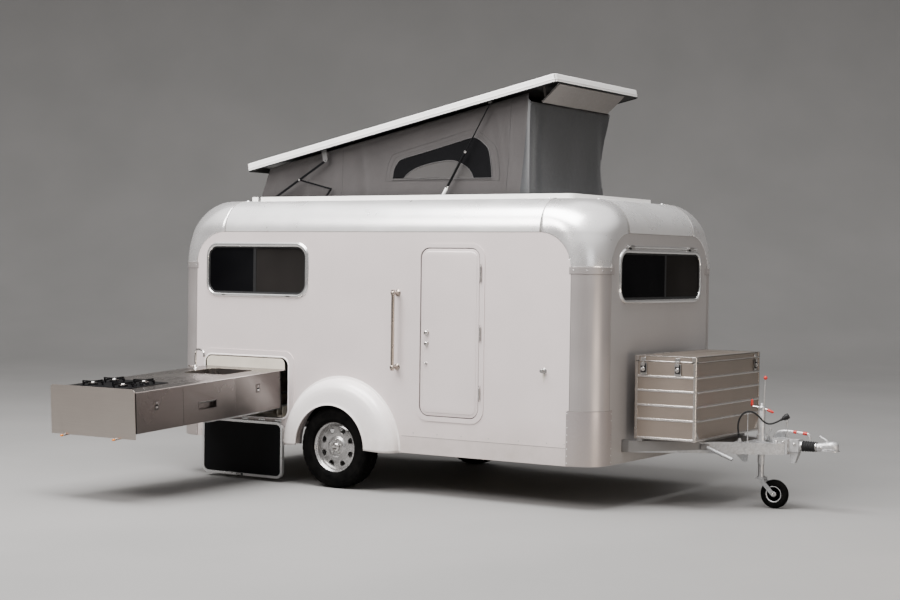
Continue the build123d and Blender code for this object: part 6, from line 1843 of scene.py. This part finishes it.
g = Geo("bellows_soft")
prof = [(3.1722, 0.0228), (3.1722, 0.0330), (3.1740, 0.0362), (3.1770, 0.0368)]
for k in range(6):
    x0_ = 3.1740 + 0.017 * k
    for u, r in ((0.0, 0.0318), (0.0020, 0.0330), (0.0045, 0.0356), (0.0070, 0.0370), (0.0095, 0.0370), (0.0120, 0.0352), (0.0145, 0.0326), (0.0160, 0.0316)):
        prof.append((x0_ + u + 0.0005, r - 0.0004 * k))
prof += [(3.2765, 0.0316), (3.2790, 0.0300), (3.2795, 0.0228)]
prof = sorted(prof, key=lambda q: q[0])
g.lathe(prof, (0, 0, 0.440), (1, 0, 0), RUBBER, n=56, close=True)
o = g.make(ROOT, smooth=60)
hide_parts("drawbar_bellows")
g = Geo("drawbar_bands")
for x_, r in ((3.1748, 0.0362), (3.2750, 0.0312)):
    g.lathe([(-0.0030, r), (-0.0030, r + 0.0012), (0.0030, r + 0.0012), (0.0030, r)], (x_, 0, 0.440), (1, 0, 0), CHROME, n=48, close=True)
# grease nipple, bolts of the housing and of the coupling
for p in ((3.010, -0.0405, 0.462), (3.060, -0.0405, 0.462), (3.130, -0.0405, 0.452), (3.010, 0.0405, 0.462), (3.060, 0.0405, 0.462), (3.130, 0.0405, 0.452)):
    sgn = -1 if p[1] < 0 else 1
    yy = p[1] if abs(p[0] - 3.130) < 0.01 else sgn * 0.0602
    g.lathe([(0.0, 0.0110), (0.0016, 0.0110), (0.0018, 0.0085), (0.0080, 0.0085), (0.0092, 0.0070), (0.0092, 0.0)], (p[0], yy, p[2]), (0, sgn, 0), CHROME, n=6)
g.lathe([(0.0, 0.0052), (0.0060, 0.0052), (0.0070, 0.0030), (0.0105, 0.0034), (0.0120, 0.0)], (3.140, 0.0, 0.4738), (0, 0, 1), CHROME, n=12)
for x_ in (3.296, 3.314):
    g.lathe([(0.0, 0.0100), (0.0014, 0.0100), (0.0015, 0.0080), (0.0075, 0.0080), (0.0085, 0.0066), (0.0085, 0.0)], (x_, -0.0268, 0.440), (0, -1, 0), CHROME, n=6)
bracket = [(3.080, 0.401), (3.158, 0.401), (3.140, 0.352), (3.126, 0.318), (3.104, 0.322), (3.100, 0.356)]
for y_ in (-0.0230, 0.0180):
    g.prism([(a, y_, b) for a, b in bracket], (0, 0.0050, 0), GALV_LIGHT)
g.make(ROOT, smooth=40, bevel=0.0005)
# parking brake lever: tube, red sleeve, button and quadrant
g = Geo("brake_lever")
path = smooth_line([(2.952, 0.052, 0.4860), (2.966, 0.052, 0.5080), (2.990, 0.052, 0.5225), (3.035, 0.052, 0.5290), (3.102, 0.052, 0.5255), (3.160, 0.052, 0.5210), (3.190, 0.052, 0.5175), (3.2020, 0.052, 0.5080), (3.2045, 0.052, 0.4950), (3.2045, 0.052, 0.4810)], 6)
g.tube(path, 0.0098, GALV_LIGHT, 20)
for a, b, r_ in (((3.090, 0.052, 0.5262), (3.114, 0.052, 0.5247), 0.0112), ((3.158, 0.052, 0.5214), (3.189, 0.052, 0.5180), 0.0116)):
    a, b = Vector(a), Vector(b)
    g.tube([a, a.lerp(b, 0.08), a.lerp(b, 0.5), a.lerp(b, 0.92), b], r_, RED, 20, radii=[r_ - 0.0014, r_, r_ + 0.0003, r_, r_ - 0.0014])
quad = [(2.940, 0.4845), (3.034, 0.4845), (3.036, 0.4990), (3.030, 0.5120), (3.012, 0.5200), (2.984, 0.5180), (2.958, 0.5040)]
g.prism([(a, 0.0465, b) for a, b in quad], (0, 0.0030, 0), GALV)
g.prism([(a, 0.0545, b) for a, b in quad], (0, 0.0030, 0), GALV)
for k in range(6):
    a = math.radians(30 + 22 * k)
    g.prism([(3.010 + 0.023 * math.cos(a) - 0.002, 0.0500, 0.496 + 0.019 * math.sin(a) - 0.002), (3.010 + 0.023 * math.cos(a) + 0.002, 0.0500, 0.496 + 0.019 * math.sin(a) - 0.002),
             (3.010 + 0.023 * math.cos(a) + 0.002, 0.0500, 0.496 + 0.019 * math.sin(a) + 0.002), (3.010 + 0.023 * math.cos(a) - 0.002, 0.0500, 0.496 + 0.019 * math.sin(a) + 0.002)], (0, 0.0040, 0), GALV)
o = g.make(ROOT, smooth=45)
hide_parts("handbrake_lever")

# jockey wheel: mast with its winding handle, tyre and pressed rim
JX = 2.879
g = Geo("jockey_tube")
g.lathe([(0.300, 0.0205), (0.300, 0.0236), (0.302, 0.0240), (0.686, 0.0240), (0.689, 0.0226), (0.690, 0.0200), (0.690, 0.0)], (JX, 0, 0), (0, 0, 1), GALV_LIGHT, n=40)
g.lathe([(0.668, 0.0240), (0.669, 0.0262), (0.684, 0.0262), (0.688, 0.0250), (0.692, 0.0180), (0.700, 0.0130), (0.7125, 0.0120), (0.7140, 0.0105), (0.7140, 0.0)], (JX, 0, 0), (0, 0, 1), GALV, n=36)
g.tube(smooth_line([(2.806, 0, 0.697), (2.8065, 0, 0.691), (2.812, 0, 0.6885), (2.850, 0, 0.6850), (2.890, 0, 0.6790), (2.922, 0, 0.6700), (2.932, 0, 0.6660)], 4), 0.0062, CHROME, 16)
g.lathe([(0.0, 0.0), (0.0, 0.0072), (0.0020, 0.0092), (0.0120, 0.0096), (0.0300, 0.0090), (0.0400, 0.0076), (0.0450, 0.0050), (0.0460, 0.0)], (2.806, 0, 0.6920), (0, 0, 1), RED, n=24)
g.lathe([(0.0, 0.0), (0.0, 0.0070), (0.0030, 0.0090), (0.0200, 0.0094), (0.0400, 0.0088), (0.0480, 0.0060), (0.0500, 0.0)], (2.918, 0, 0.6715), Vector((0.93, 0, -0.36)), RED, n=24)
g.tube(smooth_line([(2.893, 0, 0.700), (2.8945, 0, 0.745), (2.896, 0, 0.800), (2.8985, 0, 0.842), (2.901, 0, 0.878)], 4), 0.0040, GALV, 12)
g.lathe([(0.0, 0.0), (0.0010, 0.0060), (0.0050, 0.0105), (0.0110, 0.0130), (0.0160, 0.0128), (0.0210, 0.0105), (0.0250, 0.0060), (0.0262, 0.0)], (2.9012, 0, 0.8760), (0, 0, 1), RED, n=28)
g.tube([(JX + 0.010, -0.030, 0.6830), (JX + 0.010, 0.030, 0.6830)], 0.0045, CHROME, 12)
o = g.make(NODE_BODY["jockey_mast"], smooth=45)
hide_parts("jockey_mast")
g = Geo("jockey_clamp_grip")
g.tube(smooth_line([(JX + 0.046, -0.026, 0.478), (JX + 0.056, -0.026, 0.502), (JX + 0.068, -0.026, 0.528), (JX + 0.078, -0.026, 0.551)], 4), 0.0075, GALV, 16, radii=[0.0070] * 9 + [0.0080, 0.0082, 0.0078, 0.0060])
g.make(NODE_BODY["jockey_clamp"], smooth=50)
JWX, JR = 2.981, 0.099
DISH = make_plain("small_rim_shade", (0.30, 0.295, 0.29), 0.42, metallic=0.7, grain=60.0, amp=0.05)
g = Geo("jockey_tyre")
prof = [(-0.0200, 0.0500), (-0.0232, 0.0560), (-0.0240, 0.0680), (-0.0240, 0.0790), (-0.0225, 0.0870), (-0.0185, 0.0930), (-0.0120, 0.0970), (-0.0050, 0.0986), (-0.0020, 0.0988), (0.0020, 0.0988), (0.0050, 0.0986),
        (0.0120, 0.0970), (0.0185, 0.0930), (0.0225, 0.0870), (0.0240, 0.0790), (0.0240, 0.0680), (0.0232, 0.0560), (0.0200, 0.0500)]
g.lathe(prof, (JWX, 0, JR), (0, 1, 0), TYRE, n=72, close=True)
for s_ in (-1, 1):
    g.lathe([(0.0195, 0.0560), (0.0228, 0.0565), (0.0238, 0.0540), (0.0230, 0.0505), (0.0195, 0.0485)], (JWX, 0, JR), (0, s_, 0), GALV_LIGHT, n=56)
    g.lathe([(0.0195, 0.0485), (0.0120, 0.0440), (0.0105, 0.0300), (0.0150, 0.0220)], (JWX, 0, JR), (0, s_, 0), DISH, n=56)
    g.lathe([(0.0150, 0.0220), (0.0230, 0.0180), (0.0285, 0.0160), (0.0293, 0.0140), (0.0293, 0.0)], (JWX, 0, JR), (0, s_, 0), GALV_LIGHT, n=56)
    for k in range(5):
        a = 2 * math.pi * k / 5
        g.lathe([(0.0112, 0.0048), (0.0150, 0.0046), (0.0160, 0.0030), (0.0162, 0.0)], (JWX + 0.036 * math.cos(a), 0, JR + 0.036 * math.sin(a)), (0, s_, 0), CHROME, n=6)
o = g.make(NODE_BODY["jockey_wheel"], smooth=50)
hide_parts("jockey_wheel")
g = Geo("jockey_axle_nuts")
for s_ in (-1, 1):
    g.lathe([(0.0362, 0.0125), (0.0376, 0.0125), (0.0378, 0.0095), (0.0440, 0.0095), (0.0450, 0.0080), (0.0450, 0.0)], (JWX, 0, JR), (0, s_, 0), CHROME, n=6)
g.make(NODE_BODY["jockey_fork"], smooth=40)

# ---------------------------------------------------------------------------
# rear lamps
# ---------------------------------------------------------------------------
g = Geo("rear_lamps_lens")
for s_ in (-1, 1):
    f = wall_map("rear")
    for (a0, a1), m in (((0.543, 0.612), LAMP), ((0.614, 0.686), AMBER), ((0.688, 0.757), LAMP)):
        rect = (s_ * a0 if s_ > 0 else -a1, a1 if s_ > 0 else -a0, 0.434, 0.516, 0.010)
        rows = rings("rear", rect, [(0.0, 0.004), (0.0, 0.020), (-0.0015, 0.0235), (-0.005, 0.0252), (-0.010, 0.0256)], n=5)
        g.grid(rows, m, close_u=True)
        g.fan(rows[-1], m)
    rect = (s_ * 0.540 if s_ > 0 else -0.760, 0.760 if s_ > 0 else -0.540, 0.430, 0.520, 0.020)
    rows = rings("rear", rect, [(0.0, 0.0002), (0.0, 0.0100), (-0.002, 0.0118), (-0.0045, 0.0110), (-0.0045, 0.0060)], n=6)
    g.grid(rows, PLASTIC, close_u=True)
    g.fan(rows[-1], PLASTIC)
o = g.make(ROOT, smooth=40)
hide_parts("tail_lamps")


# ---------------------------------------------------------------------------
# floor, world and lights
# ---------------------------------------------------------------------------
def floor_mat():
    m = Mat("studio_floor")
    n = m.noise(0.7, 3.0, 0.5)
    m.color(m.ramp(n, [(0.3, (0.215, 0.211, 0.206)), (0.7, (0.235, 0.229, 0.224))]))
    m.set(Roughness=0.75, Specular_IOR_Level=0.25)
    return m.m


me = bpy.data.meshes.new("studio_floor")
zf = -OZ
rows = []
S = 40.0
prof = [(-S, zf), (14.0, zf)] + [(14.0 + 8.0 * math.sin(a), zf + 8.0 * (1 - math.cos(a))) for a in [math.pi / 2 * k / 12 for k in range(1, 13)]] + [(22.0, zf + 30)]
vs, fs = [], []
for d, z in prof:
    for s in (-S, S):
        # the backdrop faces the camera
        yaw = math.radians(32.523)
        fx, fy = -math.sin(yaw), math.cos(yaw)
        rx, ry = math.cos(yaw), math.sin(yaw)
        vs.append((fx * d + rx * s - 3.0, fy * d + ry * s, z))
for i in range(len(prof) - 1):
    fs.append((2 * i, 2 * i + 1, 2 * i + 3, 2 * i + 2))
me.from_pydata(vs, [], fs)
me.materials.append(floor_mat())
me.polygons.foreach_set("use_smooth", [True] * len(me.polygons))
floor = link(bpy.data.objects.new("studio_floor", me))

world = bpy.data.worlds.new("studio")
bpy.context.scene.world = world
world.use_nodes = True
wn = world.node_tree
wn.nodes.clear()
wo = wn.nodes.new("ShaderNodeOutputWorld")
bg = wn.nodes.new("ShaderNodeBackground")
tc = wn.nodes.new("ShaderNodeTexCoord")
sep = wn.nodes.new("ShaderNodeSeparateXYZ")
rp = wn.nodes.new("ShaderNodeValToRGB")
wn.links.new(tc.outputs["Generated"], sep.inputs[0])
wn.links.new(sep.outputs[2], rp.inputs[0])
rp.color_ramp.elements[0].position = 0.0
rp.color_ramp.elements[0].color = (0.10, 0.097, 0.094, 1)
rp.color_ramp.elements[1].position = 0.72
rp.color_ramp.elements[1].color = (1.0, 0.99, 0.985, 1)
e = rp.color_ramp.elements.new(0.30)
e.color = (0.115, 0.112, 0.11, 1)
wn.links.new(rp.outputs[0], bg.inputs[0])
bg.inputs[1].default_value = 1.45
wn.links.new(bg.outputs[0], wo.inputs[0])


def area(name, loc, target, size, power, color=(1, 1, 1), sy=None):
    d = bpy.data.lights.new(name, "AREA")
    d.shape = "RECTANGLE"
    d.size = size
    d.size_y = sy or size
    d.energy = power
    d.color = color
    o = link(bpy.data.objects.new(name, d))
    o.location = loc
    o.visible_camera = False
    o.rotation_mode = "QUATERNION"
    o.rotation_quaternion = (Vector(target) - Vector(loc)).to_track_quat("-Z", "Y")
    return o


area("key", (-6.0, -9.5, 7.5), (-3.0, 0, 0.7), 6.0, 1350, (1.0, 0.975, 0.96), 4.0)
area("bounce", (2.6, -1.7, 0.15), (-1.0, -0.1, 0.25), 1.6, 42, (1.0, 0.86, 0.72), 0.9)
area("fill", (6.0, -7.0, 3.0), (-1.5, 0, 0.6), 4.0, 60, (0.95, 0.97, 1.0), 3.0)
area("top", (-3.0, -3.2, 8.0), (-3.0, -0.3, 0.0), 7.0, 1700, (1, 1, 1), 4.0)
